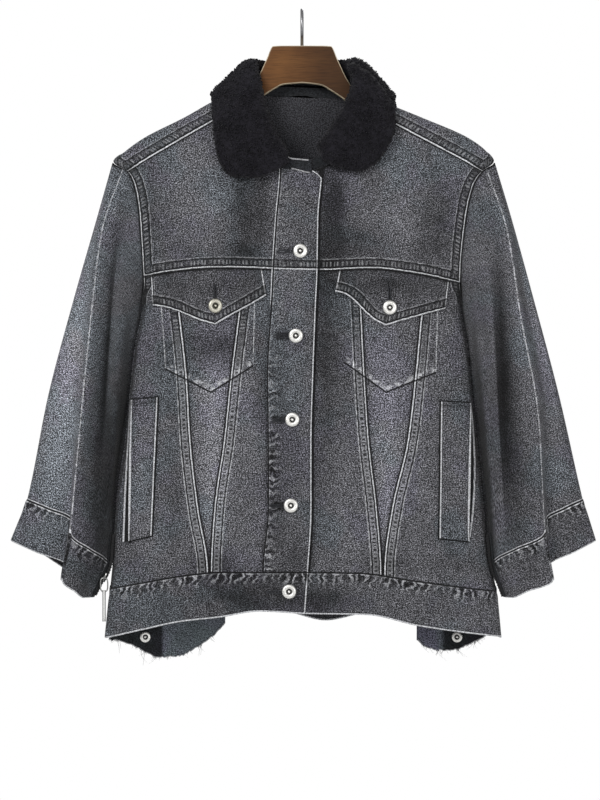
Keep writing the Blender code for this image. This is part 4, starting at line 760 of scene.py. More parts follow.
def between(lines, place):
    """The value at a place between lines, given as an array of lines, at its whole and part numbers."""
    cell = np.clip(np.floor(place).astype(int), 0, len(lines) - 2)
    start = np.take_along_axis(lines, cell[None], 0)[0]
    end = np.take_along_axis(lines, cell[None] + 1, 0)[0]
    return mix(start, end, place - cell)


def column_x(column, drop):
    """x of a column of the front: whole columns are the left outline, the lines and the right outline."""
    left, right = outlines(drop)
    lines = [smooth(drop, LINES["drop"], LINES[name]) for name in LINE_NAMES]
    return between(np.stack([left, *lines, right]), column)


def seam_drop(seam, x):
    """Drop of a seam that runs across: the curve through its points."""
    return smooth(x, seam["x"], seam["drop"])


def row_drop(x, row):
    """Drop of a row of the front: rows 0, 1, 2 and 3 are the top, the yoke seam, the hem seam and the hem."""
    edges = [front_top(x)] + [seam_drop(seam, x) for seam in (FRONT_YOKE, HEM_SEAM, HEM)]
    return between(np.stack(edges), row)


def front_plan(column, row):
    """(x, drop) of the front at each column and row, found by going to and fro between the two rules."""
    drop = np.full(column.shape, 300.0) + 100 * (row - 1)
    for _ in range(30):
        drop = (drop + row_drop(column_x(column, drop), row)) / 2
    return np.stack([column_x(column, drop), drop], axis=-1)


def back_plan(share, edge_drop):
    """(x, drop) of the back. A share runs from the left outline to the right one. A drop is read at the
    side seams, and the rows below the yoke bend to follow the hem toward the bottom."""
    x = mix(*outlines(edge_drop), share)
    seam_edge = mix(HEM_SEAM["drop"][0], HEM_SEAM["drop"][-1], share)
    straight_hem = mix(BACK_HEM["drop"][0], BACK_HEM["drop"][-1], share)
    sag = seam_drop(BACK_HEM, x) - straight_hem
    reach = np.clip((edge_drop - YOKE_SEAM_BACK) / (seam_edge - YOKE_SEAM_BACK), 0, 1.2)
    return np.stack([x, edge_drop + sag * reach], axis=-1)


def over_flap(x, drop):
    """How far the front yokes' low edge stands out over the flaps that hang from under it."""
    height = np.zeros(np.shape(x))
    for shape in FLAPS.values():
        low, high = shape["top"]
        height += step_up(x, low - 7, low + 3) * (1 - step_up(x, high - 3, high + 7))
    above = seam_drop(FRONT_YOKE, x) - drop
    return YOKE_OVER_FLAP * height * (1 - step_up(above, 1.5, 13))


def small_relief(side, plan):
    """The creases of the front or back, with the slight unevenness of washed cloth."""
    x, drop = plan[..., 0], plan[..., 1]
    creases = FRONT_CREASES if side == "front" else BACK_CREASES
    gap = np.minimum(x - body("left", drop), body("right", drop) - x)
    uneven = 0.3 * lumps(plan, 34, 3) + 0.14 * lumps(plan, 13, 5)
    return (crease_height(creases, x, drop) + uneven) * step_up(gap, 2, 12)


def fade_of(fades, x, drop):
    """The sum of a table's lighter and darker patches, worn dye and painted light, each a bell in both
    directions.
    """
    total = np.zeros(np.shape(x))
    for x_at, drop_at, x_reach, drop_reach, amount in rows_of(fades):
        total += amount * bell(x - x_at, x_reach) * bell(drop - drop_at, drop_reach)
    return total


# ---------------------------------------------------------------- the sleeves


def fold_shadow(side, places):
    """How dark the folds' shadows are: each steps up at its line and falls off over its width, and it
    swells and fades along the line. Places are in hundredths of the flattened tube."""
    dark = np.zeros(places[0].shape)
    for round_top, down_top, round_low, down_low, width, amount in rows_of(SLEEVE_SHADOWS[side]):
        along = (places[1] - down_top) / (down_low - down_top)
        off = (mix(round_top, round_low, along) - places[0]) * (SLEEVE_ROUND / 100)
        shape = step_up(off, -2, 0.5) * (1 - step_up(off, 0.3 * width, width))
        dark = np.maximum(dark, amount * shape * np.sin(math.pi * np.clip(along, 0, 1)) ** 0.7)
    return dark


def armhole(side, around):
    """Where a sleeve starts. It follows the armhole and steps out from the side panels under the arm."""
    drop = closed_smooth(around, SLEEVE_LINES["round"], SLEEVE_LINES["top"])
    hold = body("hold_" + side, drop)
    at_tip = TIP_STEP * (1 - step_up(drop, SHOULDER_TIP, 198))
    out = DENIM - ARMHOLE_STEP - at_tip - UNDERARM_STEP * step_up(drop, 296, 336)
    edge = body(side, drop) + (out if side == "left" else -out)
    front = np.mod(around, 1.0) < 0.5
    return np.stack([edge, np.where(front, -hold, hold), -drop], axis=-1)


def sleeve(side, around, down):
    """Points of the inside of a sleeve, rows down and columns around. Round each section the curve is
    smooth() through the lines' points, and down the sleeve it is smooth() through the sections."""
    sign = -1 if side == "left" else 1
    reach = SLEEVE_REACH[side]
    knots = SLEEVE_LINES["round"]
    xs = [closed_smooth(around, knots, sign * reach["x" + share]) for share in SLEEVE_SHARES]
    ys = [closed_smooth(around, knots, SLEEVE_LINES["y" + share]) for share in SLEEVE_SHARES]
    start = armhole(side, around)
    stops = np.array([0.0] + [int(share) / 100 for share in SLEEVE_SHARES])
    x = smooth(down, stops, np.stack([start[:, 0], *xs]))
    y = smooth(down, stops, np.stack([start[:, 1], *ys]))
    seam = closed_smooth(around, knots, SLEEVE_LINES["seam"])
    hem = closed_smooth(around, knots, SLEEVE_LINES["hem"])
    drops = np.stack([-start[:, 2], seam, hem])
    stops = np.array([0.0, CUFF_START, 1.0])
    cell = np.clip(np.searchsorted(stops, down, side="right") - 1, 0, 1)
    share = ((down - stops[cell]) / np.diff(stops)[cell])[:, None]
    return np.stack([x, y, -mix(drops[cell], drops[cell + 1], share)], axis=-1)


def sleeve_normals(side, around, down):
    """Outward normals of a sleeve, from the differences over a short step."""
    reach = 0.004
    wide = sleeve(side, around + reach, down) - sleeve(side, around - reach, down)
    below = sleeve(side, around, np.clip(down + reach, 0, 1))
    tall = below - sleeve(side, around, np.clip(down - reach, 0, 1))
    return unit(np.cross(tall, wide)) * (1 if side == "left" else -1)


def sleeve_relief(side, around, down):
    """The creases of a sleeve on its flattened tube, with the slight unevenness of washed cloth, which
    is another on each sleeve."""
    around = np.mod(around, 1.0)
    round_mm, down_mm = np.meshgrid(around * SLEEVE_ROUND, down * SLEEVE_LONG)
    scale = [SLEEVE_ROUND / 100, SLEEVE_LONG / 100] * 2 + [1] * 4
    creases = {name: column * size for (name, column), size in zip(SLEEVE_CREASES[side].items(), scale)}
    place = np.stack([round_mm, down_mm + (700 if side == "left" else 0)], axis=-1)
    uneven = 0.3 * lumps(place, 30, 7) + 0.14 * lumps(place, 12, 8)
    seam = np.minimum(around, 1 - around) * SLEEVE_ROUND
    ends = step_up(down_mm, 2, 16)
    return crease_height(creases, round_mm, down_mm) * ends + uneven * step_up(seam, 2, 12) * ends


# ---------------------------------------------------------------- making meshes


def make_mesh(name, points, faces, values=None, uv=None):
    """A smooth mesh of points in millimetres, without those that no face uses. values are numbers at its
    points and uv a place in the cloth at each corner of each face."""
    used, faces_flat = np.unique(faces, return_inverse=True)
    mesh = bpy.data.meshes.new(name)
    mesh.from_pydata((points[used] * MM).tolist(), [], faces_flat.reshape(faces.shape).tolist())
    for key, numbers in (values or {}).items():
        layer = mesh.attributes.new(key, "FLOAT", "POINT")
        layer.data.foreach_set("value", np.ascontiguousarray(numbers[used], dtype=np.float32))
    if uv is not None:
        mesh.uv_layers.new(name="cloth").data.foreach_set("uv", uv.astype(np.float32).ravel())
    mesh.shade_smooth()
    return mesh


def add_piece(name, mesh, finish, body_name, *nodes):
    """Puts a mesh in the scene as a piece that rides on a body and stands for CAD nodes."""
    material, slot = FINISHES[finish]
    mesh.materials.append(material)
    obj = bpy.data.objects.new(name, mesh)
    bpy.context.scene.collection.objects.link(obj)
    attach(obj, body_name)
    if nodes:
        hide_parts(*nodes)
    return obj


def grid_quads(rows, columns, closed=False):
    """Quads of a grid, each running down, then across."""
    row, column = np.meshgrid(np.arange(rows - 1), np.arange(columns - (not closed)), indexing="ij")
    after = (column + 1) % columns
    start, below = row * columns, (row + 1) * columns
    return np.stack([start + column, below + column, below + after, start + after], axis=-1).reshape(-1, 4)


# What each point of a cloth carries: distances from edges and lines, and shares from 0 to 1
DISTANCES = ("band", "rim", "under", "rope", "stitch", "press")
# slot darkens a piece, mostly with painted shade; fade lightens and darkens it, for worn dye and for painted
# light and shade
SEAM_MARKS = ("band", "run", "rim", "under", "rope", "stitch", "press", "slot", "soft", "force")
MARKS = SEAM_MARKS + ("fade", "inside")
EDGE_NAMES = ("left", "right", "top", "bottom")


def edge_marks(points, edges):
    """Distances of a grid's points from its edges, by what each edge is: band, a felled seam; rim, a
    folded edge; under, an edge that lies under another piece; rope, a puckered seam. An edge may come
    with a mask of where it counts. run is how far along the seam a point lies, soft how worn its ladder
    is and force how strong its puckers are."""
    across, down = walk(points, 1), walk(points, 0)
    slant = unit(np.gradient(points, axis=0)), unit(np.gradient(points, axis=1))
    square = np.linalg.norm(np.cross(*slant), axis=-1)
    reach = {"left": across, "right": across[:, -1:] - across, "top": down, "bottom": down[-1:] - down}
    marks = {name: np.full(points.shape[:2], FAR) for name in DISTANCES}
    marks.update({name: np.zeros(points.shape[:2]) for name in ("slot", "soft", "fade", "inside")})
    marks["force"] = np.ones(points.shape[:2])
    marks["run"] = down.copy()
    for side, kind in edges.items():
        kind, where = kind if isinstance(kind, tuple) else (kind, True)
        distance = np.where(where, reach[side] * square, FAR)
        nearer = distance < marks[kind]
        if kind in ("band", "rope"):
            along = across if side in ("top", "bottom") else down
            marks["run"] = np.where(nearer & (distance < 30), along, marks["run"])
        marks[kind] = np.where(nearer, distance, marks[kind])
    return marks


def darken(marks, amount):
    """Lays a shadow on a piece where it is darker than what is there."""
    marks["slot"] = np.maximum(marks["slot"], amount)


def draw(marks, key, distance, where=True):
    """Draws a line on a piece: a distance from it, where that is less than what is there."""
    marks[key] = np.where(where, np.minimum(marks[key], distance), marks[key])


def rope_wave(run, rope):
    """The slanted puckers of a twisted seam: a sine along it whose pitch wanders."""
    wander = 0.35 * np.sin(run / 31) + 0.22 * np.sin(run / 13 + 1) + 0.12 * np.sin(run / 5.3 + 2)
    return np.sin(2 * math.pi * (run / 8.8 + rope / 26 + wander))


def seam_relief(marks):
    """How far the seams stand out of a piece: the plies folded into a felled band, sunk along its two
    rows of stitches, and the puckers of a roped one."""
    band, rope = marks["band"], marks["rope"]
    height = 0.75 * step_up(band, 0, 0.9) * (1 - step_up(band, 10.9, 12.8))
    height -= 0.28 * bell(band - 2.0, 0.6) + 0.3 * bell(band - 10.4, 0.6)
    puckers = step_up(rope, 0.6, 4) * (1 - step_up(rope, 9, 17)) * marks["force"]
    height += 0.42 * puckers * rope_wave(marks["run"], rope) - 0.3 * bell(rope - 0.8, 0.8)
    height -= 0.35 * bell(marks["stitch"], 0.8)
    height += 0.3 * bell(marks["press"], 1.4)
    return height - 0.5 * marks["slot"]


def cloth_grid(points, closed=False):
    """Each point's place in the flat cloth, in millimetres, from walks across and down the grid."""
    if closed:
        points = np.concatenate([points, points[:, :1]], axis=1)
    return np.stack([walk(points, 1), -walk(points, 0)], axis=-1)


def wall(
    node, outer, inner, marks, finish="denim", closed=False, flip=False, keep=None, lined=True, laid=None
):
    """A piece of cloth that stands for a CAD node: an outer and an inner grid, with a rounded fold round
    the border, whose middle line stands out from between the two by a third of the thickness. keep says
    which cells it has, lined that its inner side shows plain, and laid where it lies in the cloth."""
    rows, columns = outer.shape[:2]
    quads = grid_quads(rows, columns, closed)
    places = grid_quads(rows, columns + closed)
    if keep is not None:
        quads, places = quads[keep.ravel()], places[keep.ravel()]
    if flip:
        quads, places = quads[:, ::-1], places[:, ::-1]
    cloth = cloth_grid(inner, closed)
    cloth = cloth * CLOTH_EASE if laid is None else laid * [1, -1]
    cloth = cloth.reshape(-1, 2) + CLOTH_SHIFT[0] * (len(bpy.data.meshes) % CLOTH_SHIFT[1])
    outer, inner = outer.reshape(-1, 3), inner.reshape(-1, 3)
    count = len(outer)
    edges, edge_places = [
        np.concatenate([each[:, [i, (i + 1) % 4]] for i in range(4)]) for each in (quads, places)
    ]
    key = edges.min(axis=1) * count + edges.max(axis=1)
    _, back, times = np.unique(key, return_inverse=True, return_counts=True)
    (a, b), (place_a, place_b) = edges[times[back] == 1].T, edge_places[times[back] == 1].T
    push = np.zeros((count, 3))
    side = unit(np.cross(unit(outer[b] - outer[a]), unit(outer[a] - inner[a])))
    np.add.at(push, a, side)
    np.add.at(push, b, side)
    border = np.unique(np.concatenate([a, b]))
    thick = np.linalg.norm(outer - inner, axis=1, keepdims=True)
    middle = ((outer + inner) / 2 + unit(push) * thick * 0.3)[border]
    fold = np.zeros(count, dtype=int)
    fold[border] = 2 * count + np.arange(len(border))
    faces = np.concatenate([
        quads,
        quads[:, ::-1] + count,
        np.stack([b, a, fold[a], fold[b]], axis=1),
        np.stack([fold[b], fold[a], a + count, b + count], axis=1),
    ])
    corners = np.stack([place_b, place_a, place_a, place_b], axis=1)
    uv = cloth[np.concatenate([places, places[:, ::-1], corners, corners])]
    values = {}
    for name in MARKS:
        flat = np.broadcast_to(marks[name], (rows, columns)).reshape(-1)
        inside = np.ones(count) if name == "inside" and lined else flat
        values[name] = np.concatenate([flat, inside, flat[border]])
    mesh = make_mesh(node + "_cloth", np.concatenate([outer, inner, middle]), faces, values, uv)
    obj = add_piece(node + "_cloth", mesh, finish, "jacket", node)
    return obj


def lay(node, side, plan, edges, thickness=DENIM, lift=0.0, change=None):
    """A piece cut flat and laid on the front or the back, lifted off its inner face."""
    base, outward = sheet(side, plan), sheet_normals(side, plan)
    lift = lift + small_relief(side, plan)
    inner = base + outward * lift[..., None]
    marks = edge_marks(base + outward * thickness, edges)
    # Lighter and darker patches: worn dye, and on the front painted shade too
    fades = FRONT_WEAR_AND_SHADE if side == "front" else BACK_FADES
    marks["fade"] = fade_of(fades, plan[..., 0], plan[..., 1])
    if change:
        change(plan, marks)
    outer = inner + outward * (thickness + seam_relief(marks))[..., None]
    return wall(node, outer, inner, marks, flip=side == "back", laid=plan)


def recalculated(mesh, merge=None):
    """Merges a mesh's doubles and points its faces outwards."""
    shape = bmesh.new()
    shape.from_mesh(mesh)
    if merge:
        bmesh.ops.remove_doubles(shape, verts=shape.verts, dist=merge * MM)
    bmesh.ops.recalc_face_normals(shape, faces=shape.faces)
    shape.to_mesh(mesh)
    shape.free()
    return mesh


def loft_mesh(name, sections, values=None, ring=False):
    """A closed skin through closed sections (rows). Its two ends are drawn to a point in their middles,
    unless the sections themselves run round in a ring."""
    columns = sections.shape[1]
    if ring:
        sections = np.concatenate([sections, sections[:1]])
    else:
        first, last = sections[:1].mean(axis=1, keepdims=True), sections[-1:].mean(axis=1, keepdims=True)
        sections = np.concatenate([np.repeat(first, columns, 1), sections, np.repeat(last, columns, 1)])
        if values:
            values = {key: np.concatenate([each[:1], each, each[-1:]]) for key, each in values.items()}
    values = {key: each.reshape(-1) for key, each in (values or {}).items()}
    mesh = make_mesh(name, sections.reshape(-1, 3), grid_quads(len(sections), columns, True), values)
    mesh = recalculated(mesh, 0.0005)
    mesh.shade_smooth()
    return mesh


def add_loft(name, sections, finish, body_name, *nodes, values=None, ring=False):
    """A piece that is a skin through sections."""
    return add_piece(name, loft_mesh(name, sections, values, ring), finish, body_name, *nodes)


def tube_sections(path, radius, steps, closed=False):
    """Circles across a path, kept square to it by carrying one side direction along."""
    if closed:
        along = unit(np.roll(path, -1, axis=0) - np.roll(path, 1, axis=0))
    else:
        along = unit(np.gradient(path, axis=0))
    side = np.cross(along[0], [0.31, 0.87, 0.39])
    sides = []
    for direction in along:
        side = side - direction * (side @ direction)
        side = side / np.linalg.norm(side)
        sides.append(side)
    side, other = np.array(sides)[:, None], np.cross(along, sides)[:, None]
    turn = turns(steps)[:, None]
    radius = np.broadcast_to(radius, len(path))[:, None, None]
    return path[:, None] + radius * (side * np.cos(turn) + other * np.sin(turn))


def basis(outward):
    """Directions across and up, square to a direction out, and that direction itself."""
    outward = unit(np.asarray(outward, dtype=float))
    across = unit(np.cross([0, 0, 1.0], outward))
    return across, np.cross(outward, across), outward


def add_cap(node, profile, place, outward, finish="button", steps=48):
    """A turned piece for a CAD node: a profile of (radius, height) turned about the line through place
    along outward."""
    across, up, outward = basis(outward)
    turn = turns(steps)[:, None]
    radius, height = profile["radius"][:, None, None], profile["height"][:, None, None]
    points = place + radius * (across * np.cos(turn) + up * np.sin(turn)) + height * outward
    values = {"radius": np.repeat(profile["radius"][:, None], steps, 1)}
    add_loft(node + "_cap", points, finish, "jacket", node, values=values)


# ---------------------------------------------------------------- shader nodes


class Nodes:
    """A short way to add shader nodes: each call makes one and returns its output."""

    def __init__(self, tree):
        self.tree = tree

    def put(self, socket, value):
        """Links an input to another node's output, or sets it to a plain value."""
        if isinstance(value, bpy.types.NodeSocket):
            self.tree.links.new(value, socket)
        else:
            socket.default_value = value

    def add(self, kind, inputs, out=0, **settings):
        """Makes a node with its settings and inputs, and returns one of its outputs."""
        node = self.tree.nodes.new("ShaderNode" + kind)
        for name, value in settings.items():
            setattr(node, name, value)
        for key, value in inputs.items():
            self.put(node.inputs[key], value)
        return node.outputs[out]

    def math(self, operation, *values):
        """One step of arithmetic."""
        return self.add("Math", dict(enumerate(values)), operation=operation)

    def plus(self, *values):
        """The sum of all."""
        return functools.reduce(functools.partial(self.math, "ADD"), values)

    def times(self, *values):
        """The product of all."""
        return functools.reduce(functools.partial(self.math, "MULTIPLY"), values)

    def clamp(self, value):
        """The value, held between 0 and 1."""
        return self.add("Clamp", {0: value})

    def ramp(self, value, low, high, start=0.0, end=1.0):
        """start below low, end above high and a smooth step between."""
        return self.add(
            "MapRange", {0: value, 1: low, 2: high, 3: start, 4: end}, interpolation_type="SMOOTHSTEP"
        )

    def mark(self, value, at, half, soft=0.5):
        """1 within half of a value, fading out over soft."""
        off = self.math("ABSOLUTE", self.math("SUBTRACT", value, at))
        return self.ramp(off, half, half + soft, 1.0, 0.0)

    def window(self, value, start, full, late, end):
        """0 below start, 1 from full to late, and 0 above end."""
        return self.times(self.ramp(value, start, full), self.ramp(value, late, end, 1.0, 0.0))

    def noise(self, vector, scale, detail=2.0, roughness=0.5):
        """Cloudy noise around one half."""
        return self.add(
            "TexNoise", {"Vector": vector, "Scale": scale, "Detail": detail, "Roughness": roughness}
        )

    def stretch(self, vector, scale):
        """A place multiplied by a scale on each axis."""
        return self.add("VectorMath", {0: vector, 1: scale}, operation="MULTIPLY")

    def join(self, x, y, z=0.0):
        """A place made of its coordinates."""
        return self.add("CombineXYZ", {0: x, 1: y, 2: z})

    def attribute(self, name):
        """A mark that the mesh carries, as a number."""
        return self.add("Attribute", {}, out=2, attribute_name=name)

    def blend(self, share, start, end):
        """A colour, a share of the way from one to another."""
        return self.add("Mix", {0: share, 6: start, 7: end}, out=2, data_type="RGBA")

    def tint(self, colour, amount):
        """A colour multiplied by a number."""
        return self.add("VectorMath", {0: colour, 3: amount}, operation="SCALE")

    def group(self, tree, inputs):
        """Puts a node group in, and returns its outputs."""
        node = self.tree.nodes.new("ShaderNodeGroup")
        node.node_tree = tree
        for key, value in inputs.items():
            self.put(node.inputs[key], value)
        return node.outputs


def new_group(name, inputs, outputs):
    """An empty node group with named inputs (name: kind) and outputs, and its two end nodes."""
    tree = bpy.data.node_groups.new(name, "ShaderNodeTree")
    for names, way in ((inputs, "INPUT"), (outputs, "OUTPUT")):
        for key, kind in names.items():
            tree.interface.new_socket(key, in_out=way, socket_type="NodeSocket" + kind)
    start, end = tree.nodes.new("NodeGroupInput"), tree.nodes.new("NodeGroupOutput")
    return tree, Nodes(tree), start.outputs, end.inputs


def weave_group():
    """Washed twill: pale and dark specks of two sizes, streaks along and across the yarns and single white
    yarns, less their mean; the height is the twill's slanted ribs, a sine, and a little of the grain."""
    tree, n, given, out = new_group(
        "twill_weave", {"Cloth": "Vector"}, {"Grain": "Float", "Height": "Float"}
    )
    cloth = given["Cloth"]
    speck = n.noise(cloth, 0.6, 1.0)
    fine = n.noise(cloth, 1.0, 0.0)
    warp = n.noise(n.stretch(cloth, (0.85, 0.1, 1.0)), 1.0, 1.0)
    weft = n.noise(n.stretch(cloth, (0.1, 0.8, 1.0)), 1.0, 1.0)
    total = n.plus(n.times(speck, 5.6), n.times(fine, 9.0), n.times(warp, 2.8), n.times(weft, 1.6))
    salt = n.ramp(n.noise(cloth, 0.74, 1.0), 0.56, 0.72, 0.0, 1.5)
    grain = n.plus(total, salt, -9.75)
    n.put(out["Grain"], grain)
    split = n.add("SeparateXYZ", {0: cloth})
    y = split.node.outputs[1]
    rib = n.math("SINE", n.times(n.math("ADD", split, n.times(y, 0.7)), 2 * math.pi / 0.85))
    n.put(out["Height"], n.plus(n.times(rib, 0.05), n.times(grain, 0.03)))
    return tree


def seam_group():
    """Felled seams, folded edges and puckers, from the distances in millimetres that a piece carries. Each
    thing is a band between two distances, patchy or broken by noise, and is added to what is pale, what
    is dark or both heights. What is dark holds painted shade too: in the gutters, the puckers' hollows,
    beside folded edges, under other pieces, and the shade a piece carries as slot."""
    names = [name.capitalize() for name in SEAM_MARKS]
    tree, n, given, out = new_group(
        "seams", {"Cloth": "Vector", **{name: "Float" for name in names}},
        {"Pale": "Float", "Dark": "Float", "Height": "Float"},
    )
    run, rope = given["Run"], given["Rope"]
    patchy = n.noise(given["Cloth"], 0.16, 1.0)
    fine = n.noise(given["Cloth"], 0.55, 1.0)
    worn = n.ramp(patchy, 0.36, 0.6, 0.3, 1.0)
    broken = n.ramp(fine, 0.34, 0.58, 0.55, 1.0)
    soft = given["Soft"]
    hard = n.math("SUBTRACT", 1.0, soft)
    # A felled seam: its folded edge, a gutter in painted shade, a ladder of twisted thread (worn off where it
    # is soft, down to the plies and a row of dots), a second gutter in painted shade and the outer ridge
    band = n.math("ADD", given["Band"], n.times(n.math("SUBTRACT", patchy, 0.5), 1.2))
    fold = n.times(n.mark(band, 0.55, 0.5, 0.35), broken)
    gutter_shade = n.mark(band, 1.95, 0.6, 0.35)
    jitter = n.times(n.math("SUBTRACT", n.noise(n.join(run, 3.0), 0.11, 1.0), 0.5), 1.6)
    wave = n.math("SINE", n.times(n.math("ADD", n.times(run, 1 / 4.7), jitter), 2 * math.pi))
    strong = n.ramp(n.noise(n.join(run, 9.0), 0.14, 2.0), 0.36, 0.6, 0.3, 1.0)
    rung = n.times(n.ramp(wave, -0.1, 0.5), n.window(band, 3.1, 3.9, 8.0, 8.8), strong, hard)
    ground = n.times(n.window(band, 2.3, 2.9, 9.2, 10.0), hard, n.ramp(patchy, 0.36, 0.62, 1.0, 0.6))
    plies = n.times(n.window(band, 2.5, 3.1, 9.0, 9.8), soft, n.ramp(patchy, 0.3, 0.6, 0.6, 1.0))
    dots = n.times(
        n.ramp(wave, -0.1, 0.4), n.window(band, 3.9, 4.6, 7.4, 8.1), n.ramp(strong, 0.3, 0.8, 0.7, 1.0), soft
    )
    second = n.mark(band, 10.4, 0.5, 0.4)
    outer = n.times(n.mark(band, 11.9, 0.4, 0.5), worn, n.ramp(soft, 0.0, 1.0, 0.45, 1.0))
    # A folded edge with the painted shade of its stitches, and painted shade on what lies under another piece
    rim = n.times(n.mark(given["Rim"], 0.35, 0.5, 0.35), broken)
    beside = n.mark(given["Rim"], 1.8, 0.3, 0.8)
    under = n.plus(n.ramp(given["Under"], 1.2, 2.4, 0.7, 0.0), n.ramp(given["Under"], 0.0, 7.0, 0.32, 0.0))
    # A puckered seam: slanted high places worn pale and low places in painted shade, a wave along it whose
    # pitch wanders
    wander = n.times(n.noise(n.join(run, n.times(rope, 1.6)), 0.075, 2.0), 2.6)
    twist = n.math("SINE", n.times(n.plus(n.times(run, 1 / 9.2), n.times(rope, 0.022), wander), 2 * math.pi))
    uneven = n.ramp(n.noise(n.join(run, 5.0), 0.05, 2.0), 0.35, 0.6, 0.5, 1.2)
    ragged = n.times(n.math("SUBTRACT", n.noise(n.join(run, 7.0), 0.1, 1.0), 0.5), 16.0)
    reach = n.math("SUBTRACT", rope, ragged)
    puckered = n.times(n.ramp(rope, 1.0, 2.4), n.ramp(reach, 5.0, 19.0, 1.0, 0.0), given["Force"], uneven)
    high = n.times(puckered, n.ramp(twist, 0.3, 0.9), worn, broken)
    low = n.times(puckered, n.ramp(twist, 0.25, -0.5), n.ramp(fine, 0.3, 0.55, 0.6, 1.0))
    seam = n.mark(rope, 0.8, 0.65, 0.4)
    lip = n.times(n.mark(rope, 2.2, 0.3, 0.7), worn)
    # A row of stitches with a hidden edge printed through beside it, and a pressed crease
    stitch = n.mark(given["Stitch"], 0.0, 0.7)
    print_through = n.times(n.window(given["Stitch"], 0.9, 1.8, 3.0, 9.0), n.ramp(patchy, 0.42, 0.6))
    press = n.times(n.mark(given["Press"], 0.0, 0.35, 0.5), worn, n.ramp(fine, 0.36, 0.54, 0.3, 1.0))
    pale = n.plus(
        n.times(fold, 0.98), n.times(rung, 0.5), n.times(plies, 0.17), n.times(outer, 0.48),
        n.times(rim, 0.8), n.times(high, 0.4), n.times(print_through, 0.5), n.times(press, 0.6),
        n.times(lip, 0.2),
    )
    dark = n.plus(
        gutter_shade, n.times(ground, 0.76), n.times(dots, 0.95), n.times(second, 0.92),
        n.times(beside, 0.35), under, n.times(low, 0.92), seam, stitch, given["Slot"],
    )
    n.put(out["Pale"], n.clamp(pale))
    n.put(out["Dark"], n.clamp(dark))
    bumps = n.plus(n.times(rung, 0.3), n.times(high, 0.25), n.times(fold, 0.2))
    n.put(out["Height"], n.math("SUBTRACT", bumps, n.times(n.plus(gutter_shade, second, stitch, low), 0.22)))
    return tree


def wash_group():
    """How light the cloth is painted: a piece's worn dye, painted light and shade, and clouds of two sizes,
    added up. It leans to green or violet where other clouds are dense, and to green more toward the left."""
    tree, n, given, out = new_group(
        "wash", {"Fade": "Float", "Place": "Vector"}, {"Light": "Float", "Green": "Float", "Violet": "Float"}
    )
    place = given["Place"]
    cloud = n.noise(place, 24.0, 3.0, 0.55)
    small = n.noise(place, 90.0, 2.0, 0.6)
    light = n.plus(0.275, n.times(cloud, 0.62), n.times(small, 0.66), given["Fade"])
    n.put(out["Light"], n.math("MAXIMUM", light, 0.22))
    shifted = n.add("VectorMath", {0: place, 1: (3.1, 1.7, 0.4)}, operation="ADD")
    to_left = n.ramp(n.add("SeparateXYZ", {0: place}), -0.06, -0.24, 0.0, 0.13)
    n.put(out["Green"], n.ramp(n.plus(n.noise(place, 18.0, 2.0), to_left), 0.47, 0.64))
    n.put(out["Violet"], n.ramp(n.noise(shifted, 19.0, 2.0), 0.5, 0.64))
    return tree


def new_material(name, roughness, metallic=0.0, specular=0.5, sheen=0.0, sheen_tint=(1, 1, 1)):
    """A material with its constant sockets set, its node helper and its Principled shader."""
    made = bpy.data.materials.new(name)
    made.use_nodes = True
    shader = made.node_tree.nodes["Principled BSDF"]
    shader.inputs["Roughness"].default_value = roughness
    shader.inputs["Metallic"].default_value = metallic
    shader.inputs["Specular IOR Level"].default_value = specular
    shader.inputs["Sheen Weight"].default_value = sheen
    shader.inputs["Sheen Tint"].default_value = (*sheen_tint, 1.0)
    return made, Nodes(made.node_tree), shader.inputs


def bump(n, height, distance=MM):
    """The normal of a surface that a height raises by up to a distance in metres."""
    return n.add("Bump", {"Height": height, "Distance": distance, "Strength": 1.0})


def denim_material(name, dye, green, violet, worn, inside, grain_share=1.4):
    """Washed denim: its dye with clouds and specks, pale where seams are worn, with painted shade where they
    sink, beside folds and under other pieces, and an inside colour painted darker as shade in the jacket.
    """
    made, n, shader = new_material(name, 0.88, specular=0.25, sheen=0.08)
    cloth = n.add("UVMap", {}, uv_map="cloth")
    place = n.add("TexCoord", {}, out=3)
    weave = n.group(GROUPS["weave"], {"Cloth": cloth})
    keys = {name.capitalize(): n.attribute(name) for name in SEAM_MARKS}
    seams = n.group(GROUPS["seams"], {"Cloth": cloth, **keys})
    wash = n.group(GROUPS["wash"], {"Fade": n.attribute("fade"), "Place": place})
    colour = n.blend(wash["Green"], (*dye, 1), (*green, 1))
    colour = n.blend(wash["Violet"], colour, (*violet, 1))
    speck = n.math("MAXIMUM", n.math("ADD", 1.0, n.times(weave["Grain"], grain_share)), 0.12)
    colour = n.tint(colour, n.times(wash["Light"], speck))
    # The inner face is painted darker than the dye: painted shade inside the jacket
    plain = n.tint(inside, n.ramp(speck, 0.0, 2.0, 0.25, 1.75))
    colour = n.blend(n.attribute("inside"), colour, plain)
    pale = n.tint(worn, n.ramp(speck, 0.4, 1.6, 0.75, 1.2))
    colour = n.blend(seams["Pale"], colour, pale)
    colour = n.tint(colour, n.math("SUBTRACT", 1.0, n.times(seams["Dark"], 0.92)))
    n.put(shader["Base Color"], colour)
    n.put(shader["Normal"], bump(n, n.math("ADD", weave["Height"], seams["Height"])))
    return made


def pile_material():
    """Black pile: two close shades in flecks and clouds."""
    made, n, shader = new_material("black_pile", 1.0, specular=0.15, sheen=0.1)
    place = n.add("TexCoord", {}, out=3)
    fleck = n.noise(place, 420.0, 2.0)
    cloud = n.noise(place, 60.0, 2.0)
    share = n.ramp(n.plus(n.times(fleck, 0.6), n.times(cloud, 0.4)), 0.38, 0.64)
    n.put(shader["Base Color"], n.blend(share, (0.0065, 0.006, 0.008, 1), (0.0155, 0.0145, 0.019, 1)))
    n.put(shader["Normal"], bump(n, n.noise(place, 700.0, 2.0), 0.0012))
    return made


